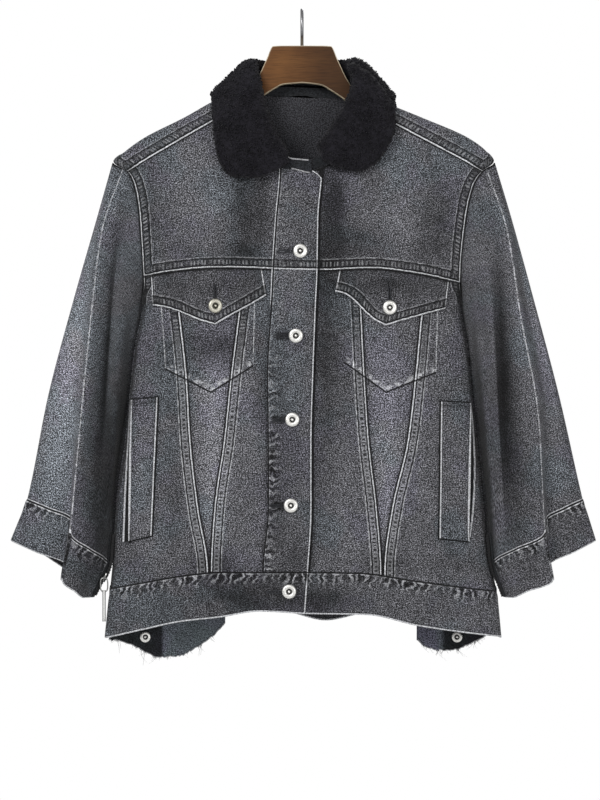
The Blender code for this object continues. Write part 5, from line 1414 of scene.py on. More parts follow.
def metal_material(name, colour, dark, roughness, groove=None, metallic=1.0):
    """Metal: fine scratches, small dull spots and, on turned pieces, a dark groove at a radius, so wide
    and so soft."""
    made, n, shader = new_material(name, roughness, metallic=metallic)
    place = n.add("TexCoord", {}, out=3)
    spots = n.noise(place, 900.0, 3.0, 0.6)
    scratch = n.noise(n.stretch(place, (300.0, 2500.0, 1200.0)), 1.0, 1.0)
    share = n.ramp(spots, 0.52, 0.75, 0.0, 0.4)
    if groove:
        share = n.math("MAXIMUM", share, n.mark(n.attribute("radius"), *groove))
    n.put(shader["Base Color"], n.blend(share, (*colour, 1), (*dark, 1)))
    n.put(shader["Roughness"], n.ramp(spots, 0.3, 0.75, roughness, roughness + 0.25))
    n.put(shader["Normal"], bump(n, scratch, 0.00004))
    return made


def wood_material():
    """Stained wood: grain and pores drawn out along the hanger, darker clouds, painted shade over its right
    half, and painted highlights along its edges."""
    made, n, shader = new_material("stained_wood", 0.5, specular=0.2)
    place = n.add("TexCoord", {}, out=3)
    grain = n.noise(n.stretch(place, (14.0, 240.0, 150.0)), 1.0, 4.0, 0.62)
    pores = n.noise(n.stretch(place, (60.0, 1500.0, 1100.0)), 1.0, 1.0)
    cloud = n.noise(place, 26.0, 2.0)
    share = n.clamp(n.plus(n.times(grain, 0.75), n.times(cloud, 0.6), -0.18))
    colour = n.blend(share, (0.078, 0.027, 0.007, 1), (0.205, 0.09, 0.026, 1))
    # Painted shade: the right half darker
    shaded = n.ramp(n.add("SeparateXYZ", {0: place}), -0.035, 0.045, 1.0, 0.4)
    colour = n.tint(colour, n.times(n.ramp(pores, 0.3, 0.55, 0.72, 1.0), shaded))
    # Painted highlight: pale along the edges, broken by the grain
    edge_highlight = n.times(n.attribute("edge"), n.ramp(grain, 0.3, 0.6, 0.55, 1.0))
    n.put(shader["Base Color"], n.blend(edge_highlight, colour, (0.66, 0.56, 0.4, 1)))
    n.put(shader["Normal"], bump(n, n.plus(n.times(pores, 0.5), grain), 0.00012))
    return made


def thread_material(name, colour, light, edge=None):
    """Spun thread. With a colour for its edge, that shows where the attribute of that name is 1."""
    made, n, shader = new_material(name, 0.8, specular=0.3)
    place = n.add("TexCoord", {}, out=3)
    fibre = n.noise(place, 1400.0, 1.0)
    colour = n.blend(n.ramp(fibre, 0.35, 0.65), (*colour, 1), (*light, 1))
    if edge:
        colour = n.blend(n.ramp(n.attribute("edge"), 0.2, 0.8), colour, (*edge, 1))
    n.put(shader["Base Color"], colour)
    n.put(shader["Normal"], bump(n, fibre, 0.0002))
    return made


GROUPS = {"weave": weave_group(), "seams": seam_group(), "wash": wash_group()}

# Each finish: its material and its slot in the record
FINISHES = {
    "denim": (
        denim_material(
            "washed_black_denim", (0.082, 0.082, 0.09), (0.075, 0.082, 0.092), (0.081, 0.08, 0.095),
            # worn seams, then the inner face, painted dark as the shade inside the jacket
            (0.78, 0.79, 0.82), (0.043, 0.043, 0.049),
        ),
        "denim",
    ),
    "dark denim": (
        denim_material(
            "dark_denim", (0.03, 0.033, 0.039), (0.027, 0.032, 0.035), (0.03, 0.03, 0.04),
            (0.5, 0.5, 0.52), (0.028, 0.03, 0.034), 0.5,
        ),
        "dark_denim",
    ),
    "pile": (pile_material(), "pile"),
    "button": (
        metal_material("button_nickel", (0.9, 0.89, 0.86), (0.05, 0.05, 0.05), 0.33, (2.35, 0.75, 0.3)),
        "silver_metal",
    ),
    # Darker, yellower nickel: partly a yellower metal, partly painted shade
    "dull shaded button": (
        metal_material("dull_shaded_nickel", (0.6, 0.58, 0.5), (0.05, 0.05, 0.04), 0.4, (2.35, 0.9, 0.4)),
        "silver_metal",
    ),
    # White metal painted this dark: painted shade for the shadows and dark outlines of the slider, bail and
    # ring
    "shaded zip steel": (
        metal_material("shaded_zip_steel", (0.42, 0.42, 0.41), (0.03, 0.03, 0.03), 0.24), "silver_metal",
    ),
    "teeth": (
        metal_material("zip_metal", (0.012, 0.012, 0.013), (0.004, 0.004, 0.004), 0.7, metallic=0.1),
        "zip_teeth",
    ),
    "strip": (
        thread_material("woven_strip", (0.5, 0.5, 0.49), (0.74, 0.74, 0.72), (0.02, 0.02, 0.02)),
        "pull_strip",
    ),
    "thread": (
        thread_material("buttonhole_thread", (0.012, 0.013, 0.015), (0.05, 0.052, 0.06)), "dark_denim"
    ),
    "wood": (wood_material(), "wood"),
    "wire": (metal_material("hook_wire", (0.32, 0.32, 0.33), (0.08, 0.08, 0.08), 0.28), "hook_wire"),
}


# ---------------------------------------------------------------- the front

# Front panels: columns, rows, the offsets of their first and last columns and rows, and what the left,
# right, top and bottom edges are
FRONT_PANELS = {
    "front_yoke_left": ((0, 3), (0, 1), (SIDE_FELLED, HIDDEN), (PLAIN, FELLED), "band - under band"),
    "front_yoke_right": ((3, 7), (0, 1), (HIDDEN, SIDE_FELLED), (PLAIN, FELLED), "- band under band"),
    "front_side_left": ((0, 1), (1, 2), (SIDE_FELLED, FELLED), (PLAIN, PLAIN), "armhole band under -"),
    "front_insert_left": ((1, 2), (1, 2), (PLAIN, PLAIN), (PLAIN, PLAIN), "under under under -"),
    "front_centre_left": ((2, 3), (1, 2), (FELLED, HIDDEN), (PLAIN, PLAIN), "band - under -"),
    "front_centre_right": ((3, 5), (1, 2), (HIDDEN, FELLED), (PLAIN, PLAIN), "- band under -"),
    "front_insert_right": ((5, 6), (1, 2), (PLAIN, PLAIN), (PLAIN, PLAIN), "under under under -"),
    "front_side_right": ((6, 7), (1, 2), (FELLED, SIDE_FELLED), (PLAIN, PLAIN), "band armhole under -"),
}


def over_band(x):
    """How far the left hem band climbs to lie over the end of the right one."""
    return (FOLDED + 0.4) * step_up(x, *BAND_OVERLAP)


def columns_and_rows(columns, rows):
    """The place at shares across and down between two columns and two rows of the front."""

    def plan_at(across, down):
        """The place at shares of the columns and the rows."""
        return front_plan(mix(*columns, across), mix(*rows, down))

    return plan_at


def off_segment(plan, start, end):
    """Signed distance from the line through two points, positive above it, and the share along it."""
    start, end = np.array(start, dtype=float), np.array(end, dtype=float)
    along = unit(end - start)
    off = plan - start
    length = np.linalg.norm(end - start)
    return off[..., 0] * along[1] - off[..., 1] * along[0], (off @ along) / length


def pocket_marks(plan, marks):
    """The pocket bags' stitches, and their sides showing through the panels."""
    for shape in POCKETS.values():
        left, right = shape["corners"]
        for start, end in ((left, shape["point"]), (shape["point"], right)):
            off, share = off_segment(plan, start, end)
            near = (share > -0.02) & (share < 1.02) & (np.abs(off) < 12)
            marks["stitch"] = np.where(near & (np.abs(off) < np.abs(marks["stitch"])), off, marks["stitch"])
        for x_top, corner in zip(shape["top"], shape["corners"]):
            off, share = off_segment(plan, (x_top, POCKET_MOUTH), corner)
            near = (share > 0) & (share < 1)
            draw(marks, "press", np.abs(off), near)


def welt_marks(plan, marks):
    """The pockets' mouths beside the welts: painted shadow in the slot, and the pale lip of its far side."""
    for side, (top_left, top_right, low_left, low_right) in WELTS.items():
        ends = (top_left, low_left) if side == "left" else (top_right, low_right)
        off, share = off_segment(plan, *ends)
        out = off if side == "right" else -off
        bow = 6.2 * np.sin(math.pi * np.clip(share, 0, 1)) ** 0.7 if side == "right" else 2.6 + 4.2 * share
        near = (share > -0.01) & (share < 1.01)
        # Painted shadow in the pocket's mouth
        darken(marks, near * step_up(out, -3, -1) * (1 - step_up(out, bow - 1.6, bow - 0.2)))
        draw(marks, "rim", np.abs(out - bow - 0.4), near)
        inner = (top_right, low_right) if side == "left" else (top_left, low_left)
        lines = [inner, (top_left, top_right), (low_left, low_right), ends]
        offs = [off_segment(plan, *line)[0] * sign for line, sign in zip(lines, (1, 1, -1, -1))]
        if side == "right":
            offs[0], offs[3] = -offs[0], -offs[3]
        beyond = np.max(offs, axis=0)
        near = (beyond > -2.5) & (beyond < 12) & (offs[3] < 2)
        draw(marks, "under", np.abs(beyond), near)


def past_column(column, x, drop):
    """How far to the right of a column of the front x lies."""
    return x - column_x(np.full(x.shape, float(column)), drop)


def front_marks(node, plan, marks):
    """What a front panel shows besides its seams: the pocket bag and worn ladders below the yoke, shade
    beside the placket and under the arms, and no felled seam where the placket hides it."""
    x, drop = plan[..., 0], plan[..., 1]
    if "yoke" not in node:
        pocket_marks(plan, marks)
        marks["soft"] = step_up(drop, 350, 430)
    if node == "front_centre_left":
        before = -past_column(SEAM_COLUMN, x, drop)
        darken(marks, 0.55 * (1 - step_up(before, 0.5, 6)) * step_up(drop, 370, 450))
    if "side" in node:
        welt_marks(plan, marks)
        gap = np.minimum(x - body("left", drop), body("right", drop) - x)
        darken(marks, 0.85 * step_up(drop, 312, 330) * (1 - step_up(gap, 1.0, 7)))
    if node in ("front_yoke_right", "front_centre_right"):
        beyond = past_column(EDGE_COLUMN, x, drop)
        near = beyond > -6
        draw(marks, "under", np.abs(beyond) - 1.0, near)
        darken(marks, 0.3 * (1 - step_up(beyond, 0, 12)) * near)
    if node == "front_yoke_right":
        marks["band"] = np.where(beyond < 0, FAR, marks["band"])


def placket_marks(plan, marks):
    """What the placket shows: the yoke seam's ladder carried over it, the puckers of its own seam and the
    painted shadows of its tucks, stronger below, and painted shade beside each button, where its
    buttonhole pulls."""
    x, drop = plan[..., 0], plan[..., 1]
    above = seam_drop(FRONT_YOKE, x) - drop
    at_seam = (above > -0.3) & (above < 12)
    marks["band"] = np.where(at_seam, np.maximum(above, 0), marks["band"])
    marks["run"] = np.where(at_seam, x + 60, marks["run"])
    marks["force"] = mix(0.3, 0.8, step_up(drop, 370, 460))
    # Painted shadows of the tucks
    for tuck_drop, reach, high, amount in rows_of(PLACKET_TUCKS):
        inward = 1 - step_up(marks["rope"], 0.3 * reach, reach)
        darken(marks, amount * inward * bell(drop - tuck_drop - TUCK_SLANT * marks["rope"], high))
    puckered = step_up(drop, 330, 390)
    draw(marks, "rim", marks["rope"] + 0.3 + 3 * puckered)
    marks["rope"] = marks["rope"] - 1.0 + 0.8 * puckered
    for button_x, button_drop in rows_of(FRONT_BUTTONS):
        off = button_x - x
        beside = step_up(off - 7, 0, 2) * (1 - step_up(off - 22, 0, 4))
        high = 1 - step_up(np.abs(drop - button_drop), 2.6, 5.8)
        darken(marks, (0.9 if button_drop > 300 else 0.5) * beside * high)


def placket_at(across, down):
    """The place at shares across and down the placket, whose top corner falls away: by a square of how
    far past the corner's start it is, and of how near the top."""
    plan = front_plan(mix(SEAM_COLUMN - PLACKET_TAB, EDGE_COLUMN, across), mix(0, 2, down))
    reach = np.clip((plan[..., 0] - CORNER_START) / CORNER_WIDTH, 0, 1)
    plan[..., 1] += CORNER_DROP * (reach * np.clip(1 - 2 * down, 0, 1) ** 2) ** 2
    return plan


def add_front():
    """The front's panels, the two halves of its hem band and the placket."""
    for node, (columns, rows, sides, ends, kinds) in FRONT_PANELS.items():
        plan = patch(columns_and_rows(columns, rows), sides, ends, SIDE_STEP if "side" in node else STEP)
        armhole = "band", plan[..., 1] < UNDERARM_DROP
        edges = {
            side: armhole if kind == "armhole" else kind
            for side, kind in zip(EDGE_NAMES, kinds.split()) if kind != "-"
        }
        lift = over_flap(plan[..., 0], plan[..., 1]) if "yoke" in node else 0.0
        lay(node, "front", plan, edges, lift=lift, change=functools.partial(front_marks, node))

    ends = PLAIN, PLAIN
    plan = patch(columns_and_rows((0, EDGE_COLUMN), (2, 3)), (SIDE_ROUNDED, PLAIN), ends, BAND_STEP)
    edges = {"top": "rope", "bottom": "rim", "right": "rim"}
    lay("front_hem_band_left", "front", plan, edges, FOLDED, over_band(plan[..., 0]))
    columns = SEAM_COLUMN, LAST_COLUMN
    plan = patch(columns_and_rows(columns, (2, 3)), (HIDDEN, SIDE_ROUNDED), ends, BAND_STEP)
    lay("front_hem_band_right", "front", plan, {"top": "rope", "bottom": "rim"}, FOLDED)
    plan = patch(placket_at, (FELLED, PLAIN), ends, FINE_STEP)
    edges = {"left": "rope", "right": "rim", "top": "rim"}
    lay("placket", "front", plan, edges, lift=PLACKET_LIFT, change=placket_marks)


def pointed(top, corners, point, sway=(0, 0)):
    """A shape with a top edge, two sides and two lower edges that meet in a point. The left one of these
    sways: it is raised by its first number times sin(2 pi s) and its second times sin(pi s)."""
    ends = top(np.array([0.0]))[0], top(np.array([1.0]))[0]
    line = straight(corners[0], point, corners[1])

    def bottom(share):
        """The pointed line, with its first half raised in a wave."""
        turn = 2 * math.pi * np.clip(share * 2, 0, 1)
        raised = sway[0] * np.sin(turn) + sway[1] * np.sin(turn / 2)
        return line(share) - np.array([0, 1.0]) * raised[..., None]

    left, right = straight(ends[0], corners[0]), straight(ends[1], corners[1])

    def plan_at(across, down):
        """The place at shares across and down."""
        return coons(top, bottom, left, right, across, down)

    return plan_at


def add_flaps():
    """The chest pockets' flaps, which hang from the yoke seam. The right one's inner corner curls out."""
    for side, shape in FLAPS.items():

        def top(share, shape=shape):
            """The flap's top edge, just under the yoke seam."""
            x = mix(*shape["top"], share)
            return np.stack([x, seam_drop(FRONT_YOKE, x) + 0.6], axis=-1)

        plan_at = pointed(top, shape["corners"], shape["point"], shape["sway"])
        across, down = grid_shares(plan_at, (FELLED, FELLED), (PLAIN, FELLED), FINE_STEP)
        plan = plan_at(across, down)
        curl = shape["curl"] * (down * np.clip(1 - across / CURL_WIDTH, 0, 1)) ** 2
        lift = FLAP_LIFT[0] + FLAP_LIFT[1] * down + curl
        edges = {"left": "rim", "right": "rim", "bottom": "band", "top": "under"}

        def change(plan, marks, side=side):
            """A shade above the button, where its buttonhole is, and a row of stitches along the edge."""
            x, drop = FLAP_BUTTONS[side]
            upright = 1 - step_up(np.abs(plan[..., 0] - x), 0.9, 2.6)
            marks["slot"] = 0.8 * upright * (1 - step_up(np.abs(plan[..., 1] - drop + 17), 7, 9.5))
            marks["fade"] = marks["fade"] - 0.2
            marks["press"] = np.abs(marks["rim"] - 3.6) + 0.2

        lay(f"chest_flap_{side}", "front", plan, edges, lift=lift, change=change)


def add_pockets():
    """The chest pocket bags, one ply that lies behind the panels."""
    for side, shape in POCKETS.items():
        top = straight((shape["top"][0], POCKET_MOUTH), (shape["top"][1], POCKET_MOUTH))
        plan_at = pointed(top, shape["corners"], shape["point"])
        plan = patch(plan_at, (PLAIN, PLAIN), (PLAIN, PLAIN), POCKET_STEP)
        lift = -BEHIND - POCKETING
        lay(f"chest_pocket_{side}", "front", plan, {"top": "rim"}, POCKETING, lift)


def add_welts():
    """The hand pockets' welts, each a little open along its outer edge."""
    for side, (top_left, top_right, low_left, low_right) in WELTS.items():
        lines = (top_left, top_right), (low_left, low_right), (top_left, low_left), (top_right, low_right)
        plan_at = functools.partial(coons, *(straight(*line) for line in lines))
        plan = patch(plan_at, (PLAIN, PLAIN), (PLAIN, PLAIN), FINE_STEP)
        x, drop = plan[..., 0], plan[..., 1]
        outer = plan[:, :1, 0] if side == "left" else plan[:, -1:, 0]
        down = (drop - top_left[1]) / (low_left[1] - top_left[1])
        gape = WELT_GAPE * bell(x - outer, 9) * np.sin(math.pi * np.clip(down, 0, 1))

        def change(plan, marks, outer=outer, down=down):
            """The mouth's edge is worn pale, most of all toward its foot."""
            wide = 1.4 * np.sin(math.pi * np.clip(down, 0, 1) ** 1.5) ** 0.7
            draw(marks, "rim", np.maximum(np.abs(plan[..., 0] - outer) - wide, 0.3))
            marks["slot"] = 0.5 * bell(plan[..., 1] - plan[0, :, 1] - 4, 2.5)

        edges = {"left": "rim", "right": "rim"}
        lay(f"hand_pocket_welt_{side}", "front", plan, edges, lift=WELT_LIFT + gape, change=change)


# ---------------------------------------------------------------- the back


def add_back():
    """The back panel and its hem band."""

    def panel_at(across, down):
        """Down from the yoke seam to the hem band."""
        return back_plan(across, mix(YOKE_SEAM_BACK, HEM_SEAM["drop"][0], down))

    def band_at(across, down):
        """Down the hem band."""
        return back_plan(across, mix(HEM_SEAM["drop"][0], BACK_HEM["drop"][0], down))

    plan = patch(panel_at, (SIDE_FELLED, SIDE_FELLED), (PLAIN, PLAIN), BACK_STEP)
    at_armhole = plan[..., 1] < UNDERARM_DROP
    edges = {"left": ("band", at_armhole), "right": ("band", at_armhole), "top": "under", "bottom": "under"}
    lay("back_panel", "back", plan, edges)
    plan = patch(band_at, (SIDE_ROUNDED, SIDE_ROUNDED), (PLAIN, PLAIN), BACK_BAND_STEP)
    lay("back_hem_band", "back", plan, {"top": "rope", "bottom": "rim"}, FOLDED)


def tail_edge(side, x):
    """Drop of a tail's torn edge: its line, with ragged teeth a few millimetres deep."""
    edge = TAILS[side]
    place = np.stack([x, np.full(np.shape(x), 3.0)], axis=-1)
    ragged = 1.5 * lumps(place, 5.5, 11) + 1.0 * lumps(place, 2.3, 12)
    return smooth(x, edge["x"], edge["drop"]) + ragged - 0.8


def add_tails():
    """The raw-edged tails that hang inside the back's hem band. Half of each is painted much lighter."""
    for side, edge in TAILS.items():
        ends = edge["x"][0], edge["x"][-1]

        def plan_at(across, down):
            """From inside the hem band to the torn edge. The rows' ends close up at the side seam."""
            x = mix(*ends, across)
            place = mix(np.maximum(x, TAIL_START), x, down**2)
            top = seam_drop(BACK_HEM, x) - TAIL_TUCK
            return np.stack([place, mix(top, tail_edge(side, x), down)], axis=-1)

        plan = patch(plan_at, (PLAIN, PLAIN), (HIDDEN, PLAIN), TAIL_STEP)
        base, outward = sheet("back", plan), sheet_normals("back", plan)
        inner = base + outward * (-BEHIND - DENIM)
        marks = edge_marks(base, {"bottom": "rim"})
        marks["rim"] += 0.25
        x = plan[..., 0]
        lighter_half = step_up(x, -167, -163) if side == "left" else 1 - step_up(x, 163, 170)
        marks["fade"] = mix(-0.35, 3.4, lighter_half) * (1 + 0.12 * lumps(plan, 16, 21))
        wall(f"back_tail_{side}", inner + outward * DENIM, inner, marks, "dark denim", flip=True, lined=False)
        add_frays(side, ends)


def add_frays(side, ends):
    """Loose yarns of a torn edge: thin bent tubes that hang from it, most of them short."""
    numbers = np.random.default_rng(5 if side == "left" else 9)
    single, bunched, bunch_count, long = FRAYS
    count = single + bunched
    bunches = numbers.uniform(ends[0] + 4, ends[1] - 4, bunch_count)
    x = np.concatenate([
        numbers.uniform(ends[0] + 1, ends[1] - 1, single),
        numbers.normal(bunches[numbers.integers(0, bunch_count, bunched)], 1.8),
    ])
    x = np.clip(x, ends[0] + 1, ends[1] - 1)
    drop = tail_edge(side, x)
    plan = np.stack([x, drop], axis=-1)
    root = sheet("back", plan) + sheet_normals("back", plan) * (-BEHIND - DENIM / 2)
    length = 1.2 + 4.5 * numbers.random(count) ** 2
    length[-long:] = numbers.uniform(8, 18, long)
    lean = numbers.normal(0, 0.45, (count, 2))
    curl = numbers.normal(0, 0.5, (count, 2))
    steps, sides = 6, 3
    share = np.linspace(0, 1, steps)[None, :, None]
    along = np.concatenate([lean[:, :1], lean[:, 1:] * 0.6, -np.ones((count, 1))], axis=1)[:, None]
    sideways = np.concatenate([curl, np.zeros((count, 1))], axis=1)[:, None]
    path = root[:, None] + length[:, None, None] * (unit(along) * share + sideways * share**2)
    path[..., 2] = path[..., 2] + 0.8 * (1 - share[..., 0])
    turn = turns(sides)
    ring = np.stack([np.cos(turn), np.sin(turn), np.zeros(sides)], axis=1) * FRAY_RADIUS
    taper = (1 - 0.6 * share)[..., None]
    points = path[:, :, None] + ring[None, None] * taper
    quads = grid_quads(steps, sides, True)
    faces = (quads[None] + (np.arange(count) * steps * sides)[:, None, None]).reshape(-1, 4)
    mesh = make_mesh(f"frays_{side}", points.reshape(-1, 3), faces)
    obj = add_piece(f"frays_{side}", recalculated(mesh), "thread", "jacket")


def ridge_point(x):
    """(x, drop) along the two shoulder ridges and, between them, the back neckline."""
    return np.stack([x, np.where(np.abs(x) < NECK_WIDTH, back_neckline(x), crest(x))], axis=-1)


def armhole_edge(side, start, end):
    """An edge along the outline from one drop to another."""
    sign = 1 if side == "left" else -1

    def edge(share):
        """The armhole's line at shares down it."""
        drop = mix(start, end, share)
        return np.stack([body(side, drop) + sign * DENIM, drop], axis=-1)

    return edge


def yoke_columns(tips):
    """Where the yoke's columns lie across, from one shoulder's tip to the other's: a felled seam's at the
    armholes, and one column just at each end of the neck."""
    left = tips[0] + spread(-NECK_WIDTH - tips[0], FELLED, HIDDEN[:1], YOKE_STEPS[0])[0]
    right = tips[1] - spread(tips[1] - NECK_WIDTH, FELLED, HIDDEN[:1], YOKE_STEPS[0])[0][::-1]
    left[-1], right[0] = -NECK_WIDTH, NECK_WIDTH
    return np.concatenate([left, np.linspace(-NECK_WIDTH, NECK_WIDTH, YOKE_NECK_COLUMNS)[1:-1], right])


def strap_places(x, side, tip):
    """A strap's places at its columns x: from the ridge, close rows, even ones and the felled seam's rows,
    drawn together near the neck, where the strap is short."""
    sign = -1 if side == "left" else 1
    seam_end = SHOULDER_SEAM["x"][0] + DENIM if side == "left" else SHOULDER_SEAM["x"][-1] - DENIM

    def top(share):
        """The ridge, from the shoulder's tip to the neck."""
        return ridge_point(mix(tip, sign * NECK_WIDTH, share))

    def seam(share):
        """The forward shoulder seam, from the armhole to the neck."""
        along = mix(seam_end, sign * (NECK_WIDTH - 1), share)
        return np.stack([along, front_top(along)], axis=-1)

    at = (x - tip) / (sign * NECK_WIDTH - tip)
    inner = straight(top(np.array([1.0]))[0], seam(np.array([1.0]))[0])
    reach = seam(at)[:, 1] - top(at)[:, 1]
    room = np.minimum(1, 0.8 * reach / FELLED[-1])[:, None]
    far = reach[:, None] - FELLED[::-1] * room * 1.12
    near = (ROUNDED - SEAM) * np.minimum(1, far[:, :1] / 12)
    even = mix(near[:, -1:], far[:, :1], STRAP_SHARES)
    depth = np.concatenate([near, even, far], axis=1) / reach[:, None]
    across = np.broadcast_to(at[:, None], depth.shape)
    return coons(top, seam, armhole_edge(side, SHOULDER_TIP, SHOULDER_SEAM["drop"][0]), inner, across, depth)


def add_back_yoke():
    """The back yoke with its two straps, which come over the shoulders to the forward shoulder seams. The
    columns start at the left tip, and the rows run from the back yoke seam over the ridge to the front."""
    tips = outlines(SHOULDER_TIP)
    x = yoke_columns(tips)
    share = (x - tips[0]) / (tips[1] - tips[0])

    def ridge(at):
        """The ridge, at shares from the left tip to the right one."""
        return ridge_point(mix(*tips, at))

    low = straight(*((end, YOKE_SEAM_BACK) for end in outlines(YOKE_SEAM_BACK)))
    sides = [armhole_edge(side, SHOULDER_TIP, YOKE_SEAM_BACK) for side in ("left", "right")]
    heights = YOKE_SEAM_BACK - ridge(share)[:, 1]
    down = spread(heights, ROUNDED - SEAM, FELLED, YOKE_STEPS[1]) / heights[:, None]
    back = coons(ridge, low, *sides, np.broadcast_to(share[:, None], down.shape), down).transpose(1, 0, 2)

    # Between the straps the rows stay beside the ridge, and their faces are left out below
    rows = np.linspace(0, 1, len(STRAP_SHARES) + len(FELLED) + len(ROUNDED))
    front = ridge(share)[None] + np.array([0.0, 1.0]) * rows[:, None, None]
    for side, tip, columns in (("left", tips[0], x <= -NECK_WIDTH), ("right", tips[1], x >= NECK_WIDTH)):
        front[:, columns] = strap_places(x[columns], side, tip).transpose(1, 0, 2)

    # Both halves as one grid, whose normals on the ridge are the mean of the two sheets'
    outward = np.concatenate([sheet_normals("back", back)[::-1], sheet_normals("front", front)[1:]])
    rim = len(back) - 1
    strap = np.abs(x) >= NECK_WIDTH
    outward[rim, strap] = unit(outward[rim, strap] + sheet_normals("front", front)[0, strap])
    base = np.concatenate([sheet("back", back)[::-1], sheet("front", front)[1:]])
    plan = np.concatenate([back[::-1], front[1:]])
    relief = np.concatenate([small_relief("back", back)[::-1], small_relief("front", front)[1:]])
    on_front = np.arange(len(plan))[:, None] > rim
    keep = np.ones((len(plan) - 1, len(x) - 1), dtype=bool)
    in_neck = (x[:-1] >= -NECK_WIDTH) & (x[1:] <= NECK_WIDTH)
    keep[rim:, in_neck] = False
    marks = edge_marks(base + outward * DENIM, {"left": "band", "right": "band", "top": "band"})
    across_seam = (walk(base, 0)[-1:] - walk(base, 0)) * 0.9
    at_seam = on_front & strap & (across_seam < marks["band"])
    marks["band"] = np.where(at_seam, across_seam, marks["band"])
    marks["run"] = np.where(at_seam, walk(base, 1), marks["run"])
    marks["fade"] = np.where(
        on_front, fade_of(FRONT_WEAR_AND_SHADE, plan[..., 0], plan[..., 1]) + 0.1,
        fade_of(BACK_FADES, plan[..., 0], plan[..., 1]),
    )
    inner = base + outward * relief[..., None]
    outer = inner + outward * (DENIM + seam_relief(marks))[..., None]
    wall("back_yoke", outer, inner, marks, keep=keep, laid=plan)


# ---------------------------------------------------------------- sleeves and zips


def around_places():
    """Places round a sleeve from one side of the underarm to the other, closer together at its crease."""
    low, high = CREASE_SPAN
    even = np.arange(0, 1, COLUMN_SHARE)
    crease = np.arange(low, high, CREASE_SHARE)
    places = np.concatenate([even[(even < low) | (even > high)], crease])
    return np.sort(np.mod(places - 0.5, 1.0)) + 0.5


def add_sleeves():
    """The sleeves and cuffs, tubes with creases, patches of worn dye and painted light, and the painted
    shadows of their folds.
    """
    around = around_places()
    rows = spread(SLEEVE_LENGTH, PLAIN, PLAIN, SLEEVE_STEP)[0] / SLEEVE_LENGTH * CUFF_START
    cuff_rows = mix(CUFF_START, 1, spread(CUFF_LENGTH, PLAIN, PLAIN, FINE_STEP)[0] / CUFF_LENGTH)
    for side in ("left", "right"):
        for name, down, thickness in (("sleeve", rows, DENIM), ("cuff", cuff_rows, FOLDED)):
            base = sleeve(side, around, down)
            outward = sleeve_normals(side, around, down)
            marks = edge_marks(base, {"top": "under" if name == "sleeve" else "rope", "bottom": "rim"})
            if name == "cuff":
                marks["rim"] += 0.4
                draw(marks, "rim", np.abs(walk(base, 0) - 2.4) + 0.25)
            places = np.meshgrid(np.mod(around, 1.0) * 100, down * 100)
            marks["fade"] = fade_of(SLEEVE_WEAR_AND_PAINTED_LIGHT[side], *places)
            from_crease = walk(base, 1)
            from_crease -= from_crease[:, [np.abs(around - PRESSED_CREASE).argmin()]]
            marks["press"] = np.where(places[1] < 88, np.abs(from_crease), FAR)
            marks["slot"] = fold_shadow(side, places)
            inner = base + outward * sleeve_relief(side, around, down)[..., None]
            outer = inner + outward * (thickness + seam_relief(marks))[..., None]
            wall(f"{name}_{side}", outer, inner, marks, closed=True, flip=side == "right")


def box_parts(middle, axes, size, taper=0.75):
    """Small blocks as closed eight-cornered shapes: arrays of middles, axes (across, along, out) and
    sizes, narrower on their outer side."""
    signs = np.array([(x, y, z) for z in (-1, 1) for y in (-1, 1) for x in (-1, 1)], dtype=float)
    scale = np.where(signs[:, 2:] > 0, [taper, taper, 1], [1, 1, 1])
    corners = np.einsum("kc,nci->nki", signs * scale * np.array(size) / 2, axes)
    faces = np.array([(0, 2, 3, 1), (4, 5, 7, 6), (0, 1, 5, 4), (2, 6, 7, 3), (0, 4, 6, 2), (1, 3, 7, 5)])
    points = middle[:, None] + corners
    return points.reshape(-1, 3), (faces[None] + 8 * np.arange(len(middle))[:, None, None]).reshape(-1, 4)


def chain_lift(down):
    """How far the zip's tape lies off the sleeve's inner face: over the cloth, and more over the cuff."""
    return CHAIN_LIFT + mix(DENIM, FOLDED + 0.1, step_up(down, *CHAIN_CLIMB))


def add_zips():
    """The cuff zips: a woven tape down the inner edge of each cuff, and two rows of metal teeth on it,
    each half a pitch from the other's. They stand taller above the slider, where the rows are apart."""
    down = np.linspace(*CHAIN_SPAN, 46)
    around = ZIP_PLACE + np.linspace(-CHAIN_HALF, CHAIN_HALF, 9)
    place = np.array([ZIP_PLACE])
    for side in ("left", "right"):
        outward = sleeve_normals(side, around, down)
        base = sleeve(side, around, down) + outward * chain_lift(down)[:, None, None]
        marks = edge_marks(base, {})
        marks["fade"] = np.full(base.shape[:2], -0.4)
        outer = base + outward * TAPE
        obj = wall(f"zip_chain_{side}", outer, base, marks, "dark denim", flip=side == "right")
        length = walk(base, 0)[-1, len(around) // 2]
        rows = np.arange(0.6, length / TOOTH_PITCH - 0.4) * TOOTH_PITCH / length
        middles, axes = [], []
        for hand in (-1, 1):
            at = np.interp(rows + hand * 0.25 * TOOTH_PITCH / length, np.linspace(0, 1, len(down)), down)
            spot, out = sleeve(side, place, at)[:, 0], sleeve_normals(side, place, at)[:, 0]
            along = unit(np.gradient(spot, axis=0))
            across = unit(np.cross(along, out))
            high = chain_lift(at) + TAPE + TOOTH_LIFT[0] + TOOTH_LIFT[1] * (1 - step_up(at, *TEETH_FALL))
            middles.append(spot + out * high[:, None] + across * hand * TOOTH_SIDE)
            axes.append(np.stack([across, along, out], axis=1))
        blocks = box_parts(np.concatenate(middles), np.concatenate(axes), TOOTH_SIZE)
        mesh = recalculated(make_mesh(f"zip_teeth_{side}", *blocks))
        mesh.set_sharp_from_angle(angle=math.radians(30))
        add_piece(f"zip_teeth_{side}", mesh, "teeth", "jacket")


def slider_frame():
    """The slider's middle, and its directions across the chain, along it and out of it."""
    place, down = np.array([ZIP_PLACE]), np.array([SLIDER_AT, SLIDER_AT + 0.02])
    at, after = sleeve("left", place, down)[:, 0]
    outward = sleeve_normals("left", place, down)[0, 0]
    across = unit(np.cross(unit(after - at), outward))
    lift = FOLDED + 0.4 + CHAIN + 0.4 + SLIDER_THICK / 2
    return at + outward * lift, across, np.cross(outward, across), outward


